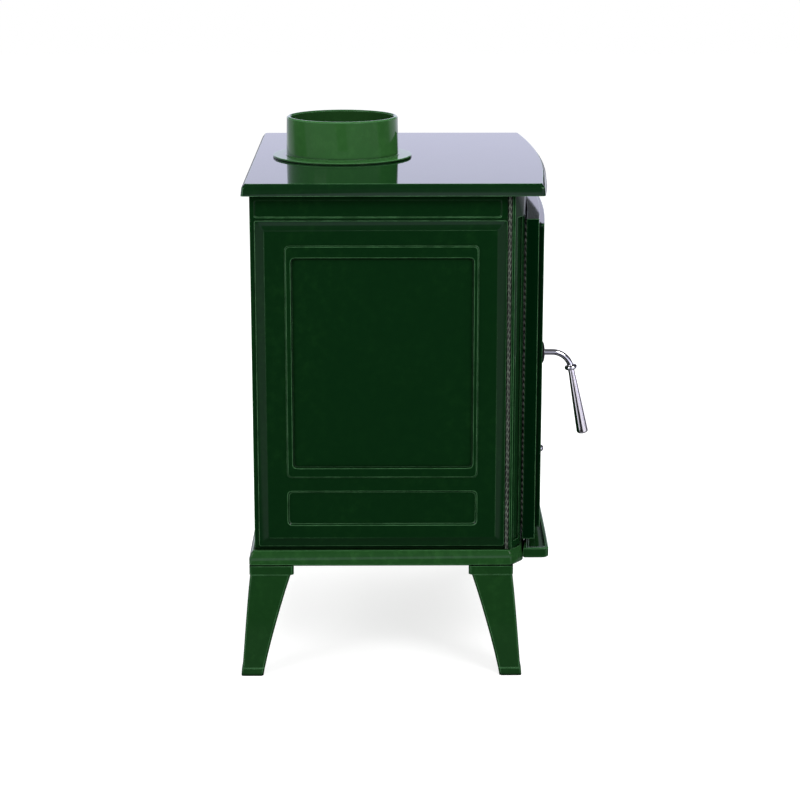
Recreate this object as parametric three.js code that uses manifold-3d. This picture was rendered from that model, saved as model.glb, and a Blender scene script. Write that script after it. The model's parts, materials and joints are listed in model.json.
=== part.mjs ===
// A wood stove of enamelled cast iron: a bolted firebox on four splayed legs, with a bowed door,
// a turning handle that works a latch cam, a sliding air shutter and a round flue collar.
// Millimetres, +Z up. The stove is drawn with its front towards +Y and turned round at the end,
// so that its front faces -Y. Depths are measured forward from the back edge of the side panels.
// Left and right are those of someone who faces the stove; left is +X until the stove is turned.

import * as THREE from "three";
import { mergeVertices } from "three/addons/utils/BufferGeometryUtils.js";
import Module from "manifold-3d";

// Clearances and overruns
const seat = 0.3; // between two pieces that touch
const slack = 0.4; // round a pin, shank or slide
const bite = 1; // how far a raised form reaches into the piece that it grows from
const overrun = 20; // how far a cut runs past the piece
const weldDistance = 0.001;

// Smoothness of round forms
const cornerSteps = 3;
const bowSteps = 12;
const turnSteps = 36;
const boltSides = 12;
const shankSides = 8;
const ropeSides = 8;

// Heights of the stack, from the floor up
const legHeight = 149;
const baseThickness = 19.9;
const bodyHeight = 471;
const topThickness = 15.5;

// Body in plan
const bodyWidth = 506;
const bodyDepth = 329;
const cantStart = 9; // from the side panels' front edge to the canted corner
const cantWidth = 22;
const cantDepth = 13;

// Top plate
const topSideOverhang = 12; // of the body on each side
const topRearOverhang = 10.3;
const topCornerReach = 46.3; // from the side panels' front edge to the plate's front corners
const topBow = 14.5; // how far the middle of the front edge stands ahead of its corners
const topCornerRadius = 5;
const topFlare = 1.3;
const topBevelIn = 4;
const topBevelDown = 5;
const topSkin = 8;
const tieBossRadius = 10;
const tieBossDrop = 18;

// Flue collar
const flueRadius = 76;
const flueWall = 5;
const flueHeight = 52.5; // above the flange
const flueSetback = 114.2; // of its axis, from the side panels' back edge
const flueSpread = 1; // by which the tube widens at its foot
const flangeRadius = 95.5;
const flangeThickness = 2.8;
const spigotDrop = 8;
const flueLip = 1.6; // radius of the rim
const fluePadRadius = 8;
const fluePadReach = 84; // from the flue's axis to its bolts
const clampLength = 34;
const clampWidth = 20;
const clampThickness = 5;

// Base plate
const baseSideOverhang = 8; // of the body on each side
const baseRearOverhang = 7.3;
const baseCantWidth = 22.6;
const baseCantDepth = 16.5;
const baseCornerRadius = 4;
const baseSkin = 8;
const baseRim = 12;
const baseFootIn = 1.5;
const baseFootRise = 2;
const baseFaceRise = 9.5;
const baseSlopeIn = 2.4;
const baseSlopeRise = 17;
const baseTopIn = 5;
const runnerWidth = 10;
const runnerSpread = 90; // of each ash-pan runner from the middle
const runnerRise = 19.5;

// Legs
const legTopWidth = 58.6;
const legNeckWidth = 54.7;
const legFootWidth = 29.5;
const legFlare = 12.2;
const legFlarePower = 0.88;
const legTaperPower = 1.2;
const legWall = 8;
const legTopBand = 12;
const legFootBand = 10;
const legBandProud = 0.8;
const legEdgeBevel = 2.6; // on the free edges of the two outer faces
const legCornerRadius = 4;
const legPad = 48;
const legPadThickness = 6;
const legSteps = 6;
const frontLegAhead = 2.7; // of the base's canted corner

// Side panels
const panelWall = 8;
const panelRelief = 4; // height of the raised field over the panel's border
const mouldRearMargin = 5.9;
const mouldFrontMargin = 0.4;
const mouldFootMargin = 4.4;
const mouldHeadMargin = 33.2;
const mouldRadius = 3;
const mouldStep = 1.2;
const coveWidth = 12;
const coveShares = [
  [0.3, 0.08],
  [0.6, 0.3],
  [0.85, 0.68],
];
const frameRear = 44.2;
const frameFrontMargin = 36.7;
const frameFoot = 99;
const frameHeadMargin = 65.1;
const frameRearBar = 7.4;
const frameFrontBar = 5.9;
const frameFootBar = 12.9;
const frameHeadBar = 15.4;
const frameRise = 1.6;
const frameSlope = 1.2;
const frameRadius = 6;
const frameDepth = 3.6; // of the field inside the frame, below the frame
const smallPanelFoot = 33.7;
const smallPanelHead = 80.5;
const smallPanelDepth = 2;
const friezeHeight = 22.5;
const friezeHeadMargin = 7;
const friezeFrontMargin = 8;
const friezeDepth = 1;
const panelLip = 6; // ribs on the inner face that hold the back plate
const ribThickness = 4;
const ledgeReach = 9;
const ledgeHeight = 10;

// Back plate
const backWall = 8;
const backFieldMargin = 34;
const backFieldRise = 2.6;
const backRibWidth = 8;
const backRibSpread = 70;

// Front plate, its joint with the side panels and its opening for the door
const frontWall = 8;
const frontReturn = 14; // how thick the plate's side edges are
const sealGrooveDepth = 6.2;
const sealGrooveWidth = 5.8;
const sealRadius = 2.5;
const openingMargin = 41; // from the outside of the body
const openingFoot = 19.1; // above the base plate
const openingHead = 48.9; // below the top plate
const openingRadius = 14;
const cantStripWidth = 13;
const cantStripDepth = 1.5;
const cantStripFoot = 10.7;
const cantStripHead = 30.2;

// Door
const doorLap = 13; // of the door over the front plate's opening
const doorFoot = 6.1; // above the base plate
const doorHead = 35.4; // below the top plate
const doorStandOff = 2.8; // of the door's back from the front plate
const doorWall = 16.1;
const doorRise = 6.5; // of the raised frame
const doorRiseSide = 10;
const doorRiseFoot = 12;
const doorRiseHead = 8;
const doorRiseRadius = 5;
const windowMargin = 67; // from the door's side edges
const windowFoot = 110;
const windowHead = 90;
const windowRadius = 20;
const windowStep = 9; // width of the moulded step round the window
const windowStepDepth = 3;
const bandFoot = 33.7;
const bandHead = 80.5;
const bandRadius = 5;
const bandDepth = 2.5;
const ropeRadius = 3;
const ropeInset = 4.5; // of the rope's middle from the door's edge
const ropeCornerRadius = 12;

// Glass in the door
const glassThickness = 4;
const glassLap = 11; // of the glass past the window
const glassRadius = 8;
const glassPocket = 3.5; // round the glass
const glassSeatAhead = 3.6; // of the pocket's floor from the door's back at the middle
const gasketThickness = 3;
const gasketWidth = 8;
const clipSpread = 100;
const clipWidth = 16;
const clipLength = 30;
const clipThickness = 3;
const clipLap = 6; // of a clip over the glass
const screwRadius = 2.5;
const screwDepth = 5;

// Air control
const airSlots = 4;
const airPitch = 36;
const airSlotWidth = 14;
const airSlotFoot = 39;
const airSlotHead = 54;
const knobHeight = 69.3; // above the base plate
const knobRadius = 5.5;
const knobNeck = 3;
const knobStem = 4; // of the knob's thin part outside the door
const knobLength = 9;
const knobRound = 2;
const shutterHalfLength = 84;
const shutterFoot = 34;
const shutterHead = 78;
const shutterThickness = 3;
const shutterAheadOfGuide = 0.4;
const guideWidth = 4;
const guideLap = 5;
const guideLip = 3;

// Door hinge
const hingeOut = 7.5; // of the pins' axis from the door's edge
const hingeAhead = 9; // of the pins' axis from the door's back at that edge
const knuckleRadius = 6;
const knuckleHeight = 22;
const lugHeight = 12;
const pinRadius = 3;
const pinHeadRadius = 4.6;
const pinHeadHeight = 3;
const lowerHinge = 72; // above the base plate
const upperHinge = 92; // below the top plate
const knuckleArm = 14;

// Handle
const handleInset = 27; // of the shaft from the door's edge
const handleRise = 254.5; // of the shaft above the base plate
const shaftRadius = 4;
const bossRadius = 14.35;
const bossHeight = 4.6;
const bossEdge = 1.6;
const bossSink = 3; // of the boss in the door's frame
const shaftReach = 10.2; // of the straight shaft past the boss
const bendRadius = 25.1;
const handleTilt = THREE.MathUtils.degToRad(11.2); // of the grip from the vertical
const bendSteps = 7;
const ringRadius = 8.25;
const ringThickness = 6.4;
const ringSteps = 6;
const gripLength = 87.5;
const gripTopRadius = 4.3;
const gripMiddleRadius = 6.3;
const gripFootRadius = 7.8;
const gripWaistShare = 0.12;
const gripDome = 1.2;
const gripEdge = 1.6;
const camHub = 7;
const camThickness = 7;
const camReach = 11;
const camTip = 3;
const camBehindDoor = 5;

// Ash lip
const lipMargin = 15; // from the outside of the body
const lipReach = 34.3; // of its front corners from the base plate
const lipBow = 2.6;
const lipHeight = 14;
const lipFootGap = 3; // from the base plate's underside to the lip's
const lipRadius = 7;
const lipFootIn = 2;
const lipRim = 4;
const lipTray = 5;
const lipEdgeIn = 1.2;
const lipScrewSpread = 120;
const lipScrewRise = 6.5;
const lipScrewRadius = 2;

// Inside the firebox
const ashSpace = 79; // from the base plate to the hearth plate
const hearthWall = 8;
const hearthAhead = 10; // of the side panels' front edge
const brickThickness = 25;
const brickHeight = 275;
const brickFrontMargin = 35;
const brickRear = 40;
const rearBrickMargin = 41; // from the outside of the body
const baffleThickness = 12;
const baffleFrontMargin = 89;
const cornerClear = 27; // kept free in each corner for a tie bolt
const grateHalfWidth = 110;
const grateRear = 74;
const grateLength = 176;
const grateWall = 9;
const grateLedge = 6;
const grateLedgeDepth = 4;
const grateRows = 2;
const grateSlots = 9;
const grateSlotWidth = 11;
const grateBorder = 13;
const grateBridge = 12;
const panHalfWidth = 118;
const panRear = 44;
const panFrontMargin = 3;
const panHeight = 46;
const panWall = 2.5;
const panTabWidth = 70;
const panTabReach = 12;
const guardMargin = 48; // from the outside of the body
const guardHeight = 42;
const guardWall = 9;
const guardSetback = 10; // from the hearth plate's front edge
const guardSlots = 5;
const guardSlotWidth = 40;
const guardSlotRise = 13;
const guardSlotHeight = 14;

// Bolts
const tieRadius = 4;
const tieInset = 27; // of each tie bolt from the outside of the side panel
const tieRear = 27;
const tieFrontMargin = 23;
const tieEndGap = 5;
const legBoltRadius = 4;
const legBoltInset = 22;
const legBoltLength = 18;
const collarBoltRadius = 2.5;
const lipScrewLength = 18;
const headSides = 6;
const headAcrossShare = 2; // of the shank's diameter, across a head's corners
const headHeightShare = 0.75; // of the shank's diameter

// Levels and places that follow from the sizes above
const baseTop = legHeight + baseThickness;
const rimFoot = baseTop + bodyHeight;
const topFace = rimFoot + topThickness;
const pocketCeiling = topFace - topSkin;
const bodyHalf = bodyWidth / 2;
const topHalf = bodyHalf + topSideOverhang;
const baseHalf = bodyHalf + baseSideOverhang;
const openingHalfWidth = bodyHalf - openingMargin;
const doorHalfWidth = openingHalfWidth + doorLap;
const windowHalfWidth = doorHalfWidth - windowMargin;
const bandHalfWidth = windowHalfWidth + windowStep;
const lipHalfWidth = bodyHalf - lipMargin;
const rearBrickHalfWidth = bodyHalf - rearBrickMargin;
const guardHalfWidth = bodyHalf - guardMargin;
const frameFront = bodyDepth - frameFrontMargin;
const frameHead = bodyHeight - frameHeadMargin;
const friezeHead = bodyHeight - friezeHeadMargin;
const friezeFoot = friezeHead - friezeHeight;
const hearthFront = bodyDepth + hearthAhead;
const brickFront = bodyDepth - brickFrontMargin;
const baffleFront = bodyDepth - baffleFrontMargin;
const panFront = bodyDepth - panFrontMargin;
const tieFront = bodyDepth - tieFrontMargin;
const bowRadius = (topHalf ** 2 + topBow ** 2) / (2 * topBow);
const borderFace = bodyHalf - panelRelief;
const panelInner = borderFace - panelWall;
const cantEnd = bodyHalf - cantWidth;
const frontFace = bodyDepth + cantStart + cantDepth + bowDrop(cantEnd);
const doorBack = frontFace + doorStandOff;
const doorFace = doorBack + doorWall;
const raisedFace = doorFace + doorRise;
const doorLow = baseTop + doorFoot;
const doorHigh = rimFoot - doorHead;
const openingLow = baseTop + openingFoot;
const openingHigh = rimFoot - openingHead;
const windowLow = baseTop + windowFoot;
const windowHigh = rimFoot - windowHead;
const hearthFoot = baseTop + ashSpace;
const hearthTop = hearthFoot + hearthWall;
const handleX = doorHalfWidth - handleInset;
const handleZ = baseTop + handleRise;
const hingeX = -(doorHalfWidth + hingeOut);
const hingeY = doorBack - bowDrop(doorHalfWidth) + hingeAhead;
const backFace = ribThickness + seat;
const backInner = backFace + backWall;
const tieX = bodyHalf - tieInset;
const shutterBack = doorBack - bowDrop(shutterHalfLength) - shutterAheadOfGuide - shutterThickness;
const glassSeat = doorBack + glassSeatAhead;
const glassFront = glassSeat - 2 * seat - gasketThickness;
const glassBack = glassFront - glassThickness;
const knobZ = baseTop + knobHeight;
const lipScrewZ = legHeight + lipScrewRise;
const spigotRadius = flueRadius - flueLip;
const flueHoleRadius = spigotRadius + slack;
const airTravel = airPitch / 2;

// Materials
const enamel = new THREE.MeshStandardMaterial({ color: 0x0d3a16, roughness: 0.18, metalness: 0 });
const blackIron = new THREE.MeshStandardMaterial({ color: 0x1b1c1d, roughness: 0.7, metalness: 0.4 });
const bossBlack = new THREE.MeshStandardMaterial({ color: 0x141514, roughness: 0.35, metalness: 0.2 });
const chrome = new THREE.MeshStandardMaterial({ color: 0xc9c9c6, roughness: 0.12, metalness: 1 });
const nickel = new THREE.MeshStandardMaterial({ color: 0xbdb8b0, roughness: 0.3, metalness: 1 });
const steel = new THREE.MeshStandardMaterial({ color: 0x77797b, roughness: 0.45, metalness: 0.9 });
const rope = new THREE.MeshStandardMaterial({ color: 0x6b6b68, roughness: 0.95, metalness: 0 });
const brick = new THREE.MeshStandardMaterial({ color: 0xc9b48e, roughness: 0.95, metalness: 0 });
const ceramicGlass = new THREE.MeshStandardMaterial({
  color: 0x2a2621,
  roughness: 0.05,
  metalness: 0,
  transparent: true,
  opacity: 0.45,
});

const wasm = await Module();
wasm.setup();
const stove = new THREE.Group();

// How far a bowed line falls back at x from its middle
function bowDrop(x) {
  return bowRadius - Math.sqrt(bowRadius ** 2 - x ** 2);
}

// A closed mesh as a solid that can be joined and cut
function solid(geometry) {
  const bare = geometry.clone();
  bare.deleteAttribute("normal");
  bare.deleteAttribute("uv");
  const merged = mergeVertices(bare, weldDistance);
  return new wasm.Manifold(
    new wasm.Mesh({
      numProp: 3,
      vertProperties: merged.attributes.position.array,
      triVerts: new Uint32Array(merged.index.array),
    }),
  );
}

function geometryOf(body) {
  const mesh = body.getMesh();
  const geometry = new THREE.BufferGeometry();
  geometry.setAttribute("position", new THREE.BufferAttribute(mesh.vertProperties, mesh.numProp));
  geometry.setIndex(new THREE.BufferAttribute(mesh.triVerts, 1));
  const flat = geometry.toNonIndexed();
  flat.computeVertexNormals();
  return flat;
}

function join(...bodies) {
  return bodies.reduce((whole, body) => whole.add(body));
}

function cut(body, ...cutters) {
  return cutters.reduce((left, cutter) => left.subtract(cutter), body);
}

// Corners [x, y, radius] to a ring of points, drawn in by inset, with each radius as a curve
function ring(corners, inset = 0) {
  const count = corners.length;
  const moved = corners.map(([x, y], i) => {
    const here = new THREE.Vector2(x, y);
    const [before, after] = [corners[(i + count - 1) % count], corners[(i + 1) % count]].map(
      ([nx, ny]) => new THREE.Vector2(nx, ny),
    );
    const coming = here.clone().sub(before).normalize();
    const going = after.sub(here).normalize();
    const inward = new THREE.Vector2(-coming.y - going.y, coming.x + going.x);
    return here.add(inward.multiplyScalar(inset / (1 + coming.dot(going))));
  });
  return moved.flatMap((corner, i) => {
    const radius = corners[i][2];
    if (!radius) return [corner];
    const before = moved[(i + count - 1) % count];
    const after = moved[(i + 1) % count];
    const coming = corner.clone().sub(before);
    const going = after.clone().sub(corner);
    const turn = Math.acos(coming.dot(going) / (coming.length() * going.length()));
    const run = radius * Math.tan(turn / 2);
    const start = corner.clone().sub(coming.setLength(run));
    const end = corner.clone().add(going.setLength(run));
    return new THREE.QuadraticBezierCurve(start, corner, end).getPoints(cornerSteps);
  });
}

// A skin over rings of points, capped at both ends or closed into a loop
function skin(rings, closed = false) {
  const count = rings[0].length;
  const positions = rings.flat().flatMap((p) => [p.x, p.y, p.z]);
  const faces = [];
  const last = closed ? rings.length : rings.length - 1;
  for (let i = 0; i < last; i++) {
    const [low, high] = [i * count, ((i + 1) % rings.length) * count];
    for (let j = 0; j < count; j++) {
      const next = (j + 1) % count;
      faces.push(low + j, low + next, high + next, low + j, high + next, high + j);
    }
  }
  if (!closed) {
    const flat = rings[0].map((p) => new THREE.Vector2(p.u ?? p.x, p.v ?? p.y));
    const top = (rings.length - 1) * count;
    for (const [a, b, c] of THREE.ShapeUtils.triangulateShape(flat, [])) {
      faces.push(c, b, a, top + a, top + b, top + c);
    }
  }
  const geometry = new THREE.BufferGeometry();
  geometry.setAttribute("position", new THREE.Float32BufferAttribute(positions, 3));
  geometry.setIndex(faces);
  return geometry;
}

// A plate with a moulded edge: its outline at each [inset, level] of the profile
function moulded(corners, profile) {
  const rings = profile.map(([inset, level]) =>
    ring(corners, inset).map((p) => new THREE.Vector3(p.x, p.y, level)),
  );
  return solid(skin(rings));
}

function prism(corners, low, high) {
  return moulded(corners, [
    [0, low],
    [0, high],
  ]);
}

function box(x0, x1, y0, y1, z0, z1) {
  const geometry = new THREE.BoxGeometry(x1 - x0, y1 - y0, z1 - z0);
  return solid(geometry.translate((x0 + x1) / 2, (y0 + y1) / 2, (z0 + z1) / 2));
}

function rectangle(x0, x1, y0, y1, radius = 0) {
  return [
    [x0, y0, radius],
    [x1, y0, radius],
    [x1, y1, radius],
    [x0, y1, radius],
  ];
}

// The same solid with its X, Y and Z axes laid along Y, Z and X, so that it faces sideways
const sideways = new THREE.Matrix4().makeBasis(
  new THREE.Vector3(0, 1, 0),
  new THREE.Vector3(0, 0, 1),
  new THREE.Vector3(1, 0, 0),
);

function placed(body, matrix) {
  return solid(geometryOf(body).applyMatrix4(matrix));
}

// A prism whose outline is drawn in X and Z and that runs along Y
function prismAlongY(corners, y0, y1) {
  return placed(prism(corners, -y1, -y0), new THREE.Matrix4().makeRotationX(Math.PI / 2));
}

// A round piece about an upright axis, from its closed profile of [radius, height]
function turned(profile, steps = turnSteps) {
  const points = [...profile, profile[0]].map(([radius, height]) => new THREE.Vector2(radius, height));
  return solid(new THREE.LatheGeometry(points, steps).rotateX(Math.PI / 2));
}

function rod(radius, low, high, sides = boltSides) {
  const geometry = new THREE.CylinderGeometry(radius, radius, high - low, sides);
  return solid(geometry.rotateX(Math.PI / 2).translate(0, 0, (low + high) / 2));
}

function at(body, x, y, z = 0) {
  return placed(body, new THREE.Matrix4().makeTranslation(x, y, z));
}

// A rod that runs along Y
function rodAlongY(radius, x, z, y0, y1, sides = boltSides) {
  const geometry = new THREE.CylinderGeometry(radius, radius, y1 - y0, sides);
  return solid(geometry.translate(x, (y0 + y1) / 2, z));
}

// Points of a bowed line from x0 to x1 whose middle lies at apex, with a radius at both ends
function bowLine(apex, x0, x1, endRadius = 0) {
  return Array.from({ length: bowSteps + 1 }, (_, i) => {
    const x = x0 + ((x1 - x0) * i) / bowSteps;
    return [x, apex - bowDrop(x), i % bowSteps ? 0 : endRadius];
  });
}

// A bowed slab between two parallel bowed faces
function bowedSlab(backApex, frontApex, halfWidth, low, high) {
  const front = bowLine(frontApex, halfWidth, -halfWidth);
  const back = bowLine(backApex, -halfWidth, halfWidth);
  return prism([...front, ...back], low, high);
}

// A rounded rectangle with one bowed face ahead and one behind
function bowedPlaque(backApex, frontApex, corners) {
  const xs = corners.map(([x]) => x);
  const zs = corners.map(([, z]) => z);
  const slab = bowedSlab(backApex, frontApex, Math.max(...xs), Math.min(...zs), Math.max(...zs));
  return slab.intersect(prismAlongY(corners, backApex - overrun, frontApex + overrun));
}

// A path swept by a round section, as a loop or with flat ends
function swept(path, radius, sides, across, closed = false) {
  const rings = path.map((point, i) => {
    const before = path[closed ? (i + path.length - 1) % path.length : Math.max(i - 1, 0)];
    const after = path[closed ? (i + 1) % path.length : Math.min(i + 1, path.length - 1)];
    const along = after.clone().sub(before).normalize();
    const side = new THREE.Vector3().crossVectors(along, across).normalize();
    return Array.from({ length: sides }, (_, j) => {
      const angle = (2 * Math.PI * j) / sides;
      const spot = point.clone();
      spot.addScaledVector(across, radius * Math.cos(angle));
      spot.addScaledVector(side, radius * Math.sin(angle));
      spot.u = Math.cos(angle);
      spot.v = Math.sin(angle);
      return spot;
    });
  });
  return solid(skin(rings, closed));
}

function add(name, body, material, parent = stove) {
  const mesh = new THREE.Mesh(geometryOf(body), material.clone());
  mesh.name = name;
  parent.add(mesh);
  return mesh;
}

// A pair of mirrored pieces
function addPair(name, body, material) {
  add(name + "_left", body, material);
  add(name + "_right", body, material).scale.x = -1;
}

// A bolt that points up, with the underside of its head's seat at the origin
function bolt(radius, length) {
  const head = rod(radius * headAcrossShare, -2 * radius * headHeightShare, 0, headSides);
  return join(head, rod(radius, -radius, length, shankSides));
}

// The outline of the body in plan, as far back as asked
function bodyCorners(back) {
  return [
    [-bodyHalf, back, 0],
    [bodyHalf, back, 0],
    [bodyHalf, bodyDepth + cantStart, 0],
    ...bowLine(frontFace, cantEnd, -cantEnd),
    [-bodyHalf, bodyDepth + cantStart, 0],
  ];
}

const tiePlaces = [tieRear, tieFront].flatMap((y) => [-tieX, tieX].map((x) => [x, y]));

// Top plate: a skin with a deep moulded rim that hangs over the body
const topFront = bodyDepth + topCornerReach + topBow;

function topPlate() {
  const corners = [
    [-topHalf, -topRearOverhang, topCornerRadius],
    [topHalf, -topRearOverhang, topCornerRadius],
    ...bowLine(topFront, topHalf, -topHalf, topCornerRadius),
  ];
  const plate = moulded(corners, [
    [0, rimFoot],
    [topFlare, topFace - topBevelDown],
    [topFlare + topBevelIn, topFace],
  ]);
  const pocket = moulded(bodyCorners(0), [
    [-seat, rimFoot - overrun],
    [-seat, pocketCeiling],
  ]);
  const bosses = tiePlaces.map(([x, y]) =>
    at(rod(tieBossRadius, pocketCeiling - tieBossDrop, pocketCeiling + bite), x, y),
  );
  const tieHoles = tiePlaces.map(([x, y]) =>
    at(rod(tieRadius + slack, rimFoot - overrun, pocketCeiling - tieEndGap + slack), x, y),
  );
  const flueHole = at(rod(flueHoleRadius, rimFoot, topFace + overrun, turnSteps), 0, flueSetback);
  const padHoles = [-fluePadReach, fluePadReach].map((x) =>
    at(rod(fluePadRadius + slack, rimFoot, topFace + overrun, boltSides), x, flueSetback),
  );
  return cut(join(cut(plate, pocket), ...bosses), ...tieHoles, flueHole, ...padHoles);
}

function flueCollar() {
  const bore = flueRadius - flueWall;
  const foot = topFace + seat;
  const flangeTop = foot + flangeThickness;
  const rim = flangeTop + flueHeight;
  const tube = turned([
    [bore, foot - spigotDrop],
    [spigotRadius, foot - spigotDrop],
    [spigotRadius, foot],
    [flangeRadius, foot],
    [flangeRadius, flangeTop - flangeThickness / 4],
    [flangeRadius - flangeThickness / 4, flangeTop],
    [flueRadius + flueSpread + flueLip, flangeTop],
    [flueRadius + flueSpread, flangeTop + flueLip],
    [flueRadius, rim - 2 * flueLip],
    [flueRadius, rim - flueLip],
    [flueRadius - flueLip, rim],
    [bore + flueLip, rim],
    [bore, rim - flueLip],
  ]);
  const pads = [-fluePadReach, fluePadReach].map((x) =>
    cut(
      at(rod(fluePadRadius, foot - spigotDrop + seat, foot + bite), x, 0),
      at(rod(collarBoltRadius + slack, foot - spigotDrop - overrun, foot), x, 0),
    ),
  );
  return at(join(tube, ...pads), 0, flueSetback);
}

// Base plate: a skin with a moulded rim below, a pad over each leg and two runners for the ash pan
const baseCantStart = bodyDepth + cantStart;
const baseCorner = baseCantStart + baseCantDepth;
const baseFront = baseCorner + bowDrop(baseHalf - baseCantWidth);
const legBack = -baseRearOverhang;
const legFront = baseCantStart + frontLegAhead;

function basePlate() {
  const corners = [
    [-baseHalf, -baseRearOverhang, baseCornerRadius],
    [baseHalf, -baseRearOverhang, baseCornerRadius],
    [baseHalf, baseCantStart, baseCornerRadius],
    ...bowLine(baseFront, baseHalf - baseCantWidth, baseCantWidth - baseHalf),
    [-baseHalf, baseCantStart, baseCornerRadius],
  ];
  const plate = moulded(corners, [
    [baseFootIn, legHeight],
    [0, legHeight + baseFootRise],
    [0, legHeight + baseFaceRise],
    [baseSlopeIn, legHeight + baseSlopeRise],
    [baseTopIn, baseTop],
  ]);
  const hollow = moulded(corners, [
    [baseRim, legHeight - overrun],
    [baseRim, baseTop - baseSkin],
  ]);
  const pads = [
    [legBack, legBack + legTopWidth],
    [legFront - legTopWidth, legFront],
  ].flatMap(([y0, y1]) => {
    const [near, far] = [baseHalf - legTopWidth, baseHalf - baseRim / 2];
    const [low, high] = [Math.max(y0, baseRim / 2 + legBack), y1];
    return [
      box(near, far, low, high, legHeight, baseTop - baseSkin + bite),
      box(-far, -near, low, high, legHeight, baseTop - baseSkin + bite),
    ];
  });
  const runners = [-runnerSpread, runnerSpread].map((x) =>
    box(
      x - runnerWidth / 2,
      x + runnerWidth / 2,
      panRear,
      hearthFront,
      baseTop - bite,
      baseTop + runnerRise,
    ),
  );
  const tieHoles = tiePlaces.map(([x, y]) =>
    at(rod(tieRadius + slack, legHeight, baseTop + overrun), x, y),
  );
  const nutPockets = tiePlaces.map(([x, y]) =>
    at(rod(tieNutRoom(), legHeight - overrun, baseTop - baseSkin, turnSteps / 2), x, y),
  );
  const legHoles = legBoltPlaces().map(([x, y]) =>
    at(rod(legBoltRadius + slack, legHeight - overrun, legHeight + legBoltDepth() + slack), x, y),
  );
  const screwHoles = [-lipScrewSpread, lipScrewSpread].map((x) =>
    rodAlongY(lipScrewRadius + slack, x, lipScrewZ, baseCorner - overrun, baseFront + overrun),
  );
  const whole = join(cut(plate, hollow), ...pads, ...runners);
  return cut(whole, ...tieHoles, ...nutPockets, ...legHoles, ...screwHoles);
}

function tieNutRoom() {
  return tieRadius * headAcrossShare + 2 * slack;
}

function legBoltPlaces() {
  return [legBack + legBoltInset, legFront - legBoltInset].flatMap((y) =>
    [-baseHalf + legBoltInset, baseHalf - legBoltInset].map((x) => [x, y]),
  );
}

// How far a leg bolt reaches into the base plate
function legBoltDepth() {
  return legBoltLength - legPadThickness - seat;
}

// One leg: an angle of two walls that taper and flare down to the foot, about its outer corner
function leg() {
  const neck = legHeight - legTopBand;
  const levels = [0, legFootBand];
  for (let i = 0; i <= legSteps; i++) {
    levels.push(legFootBand + legBandProud + ((neck - legFootBand - 2 * legBandProud) * i) / legSteps);
  }
  levels.push(neck, legHeight - seat);
  const rings = levels.map((level) => {
    const rise = Math.min(level / neck, 1);
    const band = level <= legFootBand || level >= neck;
    const proud = band ? 0 : -legBandProud;
    const out = legFlare * (1 - rise) ** legFlarePower + proud;
    const taper = legFootWidth + (legNeckWidth - legFootWidth) * rise ** legTaperPower;
    const width = (level >= neck ? legTopWidth : taper) + proud;
    const corners = [
      [out, out, legCornerRadius],
      [out - width + legEdgeBevel, out, 0],
      [out - width, out - legEdgeBevel, 0],
      [out - width, out - legWall, 0],
      [out - legWall, out - legWall, 0],
      [out - legWall, out - width, 0],
      [out - legEdgeBevel, out - width, 0],
      [out, out - width + legEdgeBevel, 0],
    ];
    return ring(corners).map((p) => new THREE.Vector3(p.x, p.y, level));
  });
  const padFoot = legHeight - seat - legPadThickness;
  const pad = box(-legPad, -legWall / 2, -legPad, -legWall / 2, padFoot, legHeight - seat);
  const hole = at(
    rod(legBoltRadius + slack, padFoot - overrun, legHeight + overrun),
    -legBoltInset,
    -legBoltInset,
  );
  return cut(join(solid(skin(rings)), pad), hole);
}

// Side panel: a moulded field with a picture frame, a small sunk panel and ribs on its inner face
function sidePanel() {
  const [low, high] = [baseTop + seat, pocketCeiling - seat];
  const slab = box(panelInner, borderFace, 0, bodyDepth, low, high);
  const face = (corners, profile) => placed(moulded(corners, profile), sideways);
  const field = face(
    rectangle(
      mouldRearMargin,
      bodyDepth - mouldFrontMargin,
      baseTop + mouldFootMargin,
      rimFoot - mouldHeadMargin,
      mouldRadius,
    ),
    [
      [0, borderFace - bite],
      [0, borderFace + mouldStep],
      ...coveShares.map(([across, up]) => [
        coveWidth * across,
        borderFace + mouldStep + (panelRelief - mouldStep) * up,
      ]),
      [coveWidth, bodyHalf],
    ],
  );
  const frame = face(
    rectangle(frameRear, frameFront, baseTop + frameFoot, baseTop + frameHead, frameRadius),
    [
      [0, bodyHalf - bite],
      [0, bodyHalf],
      [frameSlope, bodyHalf + frameRise],
    ],
  );
  const sunk = face(
    rectangle(
      frameRear + frameRearBar,
      frameFront - frameFrontBar,
      baseTop + frameFoot + frameFootBar,
      baseTop + frameHead - frameHeadBar,
      frameRadius,
    ),
    [
      [frameSlope, bodyHalf + frameRise - frameDepth],
      [0, bodyHalf + frameRise - frameDepth / 3],
      [0, bodyHalf + overrun],
    ],
  );
  const smallPanel = face(
    rectangle(frameRear, frameFront, baseTop + smallPanelFoot, baseTop + smallPanelHead, frameRadius),
    [
      [smallPanelDepth, bodyHalf - smallPanelDepth],
      [0, bodyHalf],
      [0, bodyHalf + overrun],
    ],
  );
  const frieze = face(
    rectangle(
      mouldRearMargin,
      bodyDepth - friezeFrontMargin,
      baseTop + friezeFoot,
      baseTop + friezeHead,
      mouldRadius,
    ),
    [
      [friezeDepth, borderFace - friezeDepth],
      [0, borderFace],
      [0, borderFace + overrun],
    ],
  );
  const ribs = [0, backInner + seat].map((y) =>
    box(panelInner - panelLip, panelInner + bite, y, y + ribThickness, low, high),
  );
  const ledge = box(
    panelInner - ledgeReach,
    panelInner + bite,
    brickRear,
    brickFront,
    hearthFoot - seat - ledgeHeight,
    hearthFoot - seat,
  );
  return cut(join(slab, field, frame, ...ribs, ledge), sunk, smallPanel, frieze);
}

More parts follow.
